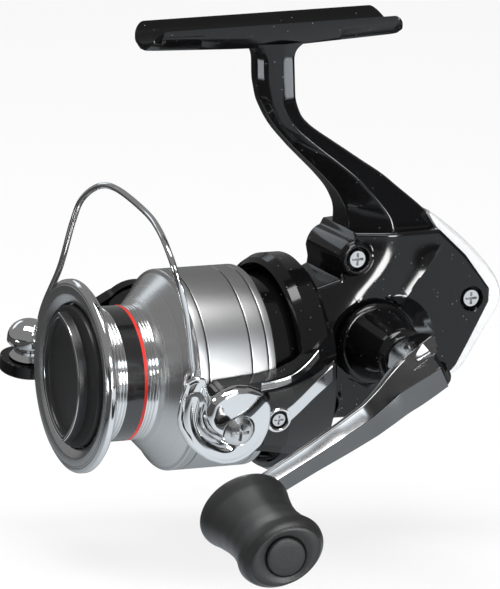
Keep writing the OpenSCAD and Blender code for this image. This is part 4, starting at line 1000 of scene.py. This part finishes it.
strip_top = np.array([(-36.4, 8.7), (-40.8, 9.2), (-45.3, 10.3), (-49, 11.9), (-52.4, 14)])
strip = inlay(strip_top, strip_top - (0, 1.7), front_r=29.2, root_r=26.2)
tail_top = [(-42.4, 2.6), (-46, 5), (-50, 7.7), (-55.4, 10.8)]
tail_foot = [(-43.5, -0.7), (-46.6, 1.6), (-50.4, 4.4), (-55.4, 7.4)]
tail = inlay(tail_top, tail_foot, front_r=30.5, root_r=27.5)
SCREW_AT = (-41.0, 0, 0)
ring_way = [(2.3, 29.9), (3.2, 29.9), (3.2, 30.45), (2.9, 30.7), (2.5, 30.6), (2.3, 30.3)]
ring = turning(upright(rounded(ring_way, 0.08, 2), 72) + SCREW_AT)
inlays = Skin().grid(strip).grid(tail).grid(ring, loop=True)
inlays.piece("rotor_arm_inlays", "rotor", "chrome", [polished_alloy])

# %% [markdown]
# ## Camera and studio
# The photograph was taken with a long lens from the front left of the reel, a little above it, so the camera
# stands well back. A white floor fills the picture. Three soft boxes light the reel. Lacquer and chrome show
# what stands round them, so cards that only reflections see are set about: bright ones draw the long highlights,
# dim ones keep the black deep.

# %% Camera
IMAGE = (500, 589)
FOCAL, SENSOR = 6000.0, 36
STAND = (543.1, 1260.46, 340.62)
AZIMUTH, ELEVATION, ROLL = np.radians([154.94, 13.1, 2.04])
back = np.array([np.sin(AZIMUTH) * np.cos(ELEVATION), -np.cos(AZIMUTH) * np.cos(ELEVATION), np.sin(ELEVATION)])
right = np.array([np.cos(AZIMUTH), np.sin(AZIMUTH), 0])
up = np.cross(back, right)
right, up = right * np.cos(ROLL) + up * np.sin(ROLL), up * np.cos(ROLL) - right * np.sin(ROLL)
camera = placed("camera", bpy.data.cameras.new("camera"))
camera.data.sensor_width = SENSOR
camera.data.lens = FOCAL * SENSOR / max(IMAGE)
stand = np.stack([right, up, back, reel(STAND)], 1)
camera.matrix_world = Matrix([*stand.tolist(), (0, 0, 0, 1)])
bpy.context.scene.camera = camera
bpy.context.scene.view_settings.view_transform = "Standard"
print("lens", round(camera.data.lens, 1), "mm")

# %% World


def ray(v, *names):
    """1 for the named kinds of ray."""
    made = v.node("LightPath").socket.node.outputs
    kinds = [Value(v.tree, made[name]) for name in names]
    total = kinds[0]
    for kind in kinds[1:]:
        total = v.math("MAXIMUM", total, kind)
    return total


world = bpy.data.worlds.new("studio")
world.use_nodes = True
scene.world = world
sky = Value(world.node_tree)
LIT, SEEN, MIRRORED = 0.35, 1.0, 0.25
direct = ray(sky, "Is Camera Ray", "Is Transmission Ray")
level = LIT + direct * (SEEN - LIT) + ray(sky, "Is Glossy Ray") * (MIRRORED - LIT)
background = sky.tree.nodes["Background"].inputs
sky.tree.links.new(level.socket, background["Strength"])
background["Color"].default_value = (1, 1, 1, 1)
print("world: seen", SEEN, "lighting", LIT, "mirrored", MIRRORED)

# %% Floor


def sheet_of(name, middle, across, upward, material):
    """A flat rectangle round a middle point, given by its two half sides."""
    m, a, b = (np.array(t, float) for t in (middle, across, upward))
    mesh = bpy.data.meshes.new(name)
    mesh.from_pydata([list(p) for p in (m - a - b, m + a - b, m + a + b, m - a + b)], [], [(0, 1, 2, 3)])
    mesh.materials.append(material)
    made = placed(name, mesh)
    made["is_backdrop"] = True
    return made


WHITE, GLOW, DARK, DIMMED = tone(0.9), 0.8, tone(0.02), 0.95
paper = bpy.data.materials.new("paper")
paper.use_nodes = True
tree = paper.node_tree
v = Value(tree)
matt = v.node("BsdfDiffuse", Color=WHITE)
glow = v.node("Emission", Color=(1, 1, 1, 1), Strength=1.0)
seen = v.node("MixShader", i0=ray(v, "Is Camera Ray") * GLOW, i1=matt, i2=glow)
# For mirror-like rays the floor is nearly black: painted shade, so that the undersides of the reel mirror a dark floor.
reflected_shade = v.node("BsdfDiffuse", Color=DARK)
seen = v.node("MixShader", i0=ray(v, "Is Glossy Ray") * DIMMED, i1=seen, i2=reflected_shade)
tree.links.new(seen.socket, tree.nodes["Material Output"].inputs["Surface"])
floor_z = cad_low[2] - 0.015
sheet_of("floor", (0, 0, floor_z), (8, 0, 0), (0, 8, 0), paper)
print("floor at", round(floor_z, 4))

# %% Soft boxes and cards
EDGE = 2.2
COOL = (0.93, 1.0, 1.06, 1)


def card(name, middle, across, upward, level):
    """A card that only mirror-like rays see. It is full in the middle and fades to nothing at its four edges: EDGE
    times 1 - s * s, at most 1, for the share s of each half side."""
    glow = bpy.data.materials.new(name)
    glow.use_nodes = True
    v = Value(glow.node_tree)
    spot = split(v, place(v))
    full = 1.0
    for side in (across, upward):
        along = sum((p - m) * (h / np.dot(side, side)) for p, m, h in zip(spot, middle, side) if h)
        full = v.math("MINIMUM", 1.0, (1.0 - along * along) * EDGE) * full
    light = v.node("Emission", Color=full.mix(tone(0), COOL), Strength=level)
    glow.node_tree.links.new(light.socket, glow.node_tree.nodes["Material Output"].inputs["Surface"])
    made = sheet_of(name, middle, across, upward, glow)
    made.visible_camera = made.visible_diffuse = made.visible_shadow = made.visible_transmission = False


def soft_box(name, spot, aim, wide, high, watts):
    """A rectangular lamp that stands at spot and faces aim."""
    lamp = bpy.data.lights.new(name, "AREA")
    lamp.shape, lamp.size, lamp.size_y, lamp.energy = "RECTANGLE", wide, high, watts
    made = placed(name, lamp)
    made.location = spot
    made.rotation_euler = (Vector(aim) - Vector(spot)).to_track_quat("-Z", "Y").to_euler()
    return made


middle = (cad_low + cad_high) / 2
card("card_floor", (-0.17, 0.32, floor_z + 0.004), (0.29, 0, 0), (0, 0.38, 0), 0.9)
card("card_far", (0.25, -1.0, 0.5), (0.4, 0, 0), (0, 0, 0.2), 1.3)
card("card_high", (-0.1, 1.0, 0.45), (0.3, 0, 0), (0, 0, 0.12), 8.0)
card("card_ahead", (0.48, -0.01, floor_z + 0.005), (0.2, 0, 0), (0, 0.06, 0), 7.0)
card("card_glint", (-0.7, 0.35, floor_z + 0.005), (0.32, 0, 0), (0, 0.2, 0), 6.0)
card("card_under", (0.0, -0.1, floor_z + 0.004), (0.12, 0, 0), (0, 0.04, 0), 0.4)
card("card_rear", (-1.1, 0.55, 0.45), (0.25, 0.5, 0), (0, 0, 0.45), 0.08)
card("card_front", (1.2, 0.55, -0.3), (-0.3, 0.5, 0), (0, 0, 0.35), 0.05)
soft_box("box_top", (0.1, 0.15, 1.1), middle, 0.9, 0.5, 12)
soft_box("box_left", (1.2, 0.25, 0.5), middle, 0.4, 0.6, 5).visible_glossy = False
soft_box("box_side", (-0.14, 1.05, 0.02), middle, 0.22, 0.3, 6)
print("studio ready:", len(bpy.data.lights), "soft boxes")

# %% [markdown]
# ## The box of the dressed reel
# The box round the dressed reel is measured, as the construction model's was at the start.

# %% Size of the dressed reel
bpy.context.view_layer.update()
low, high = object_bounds()
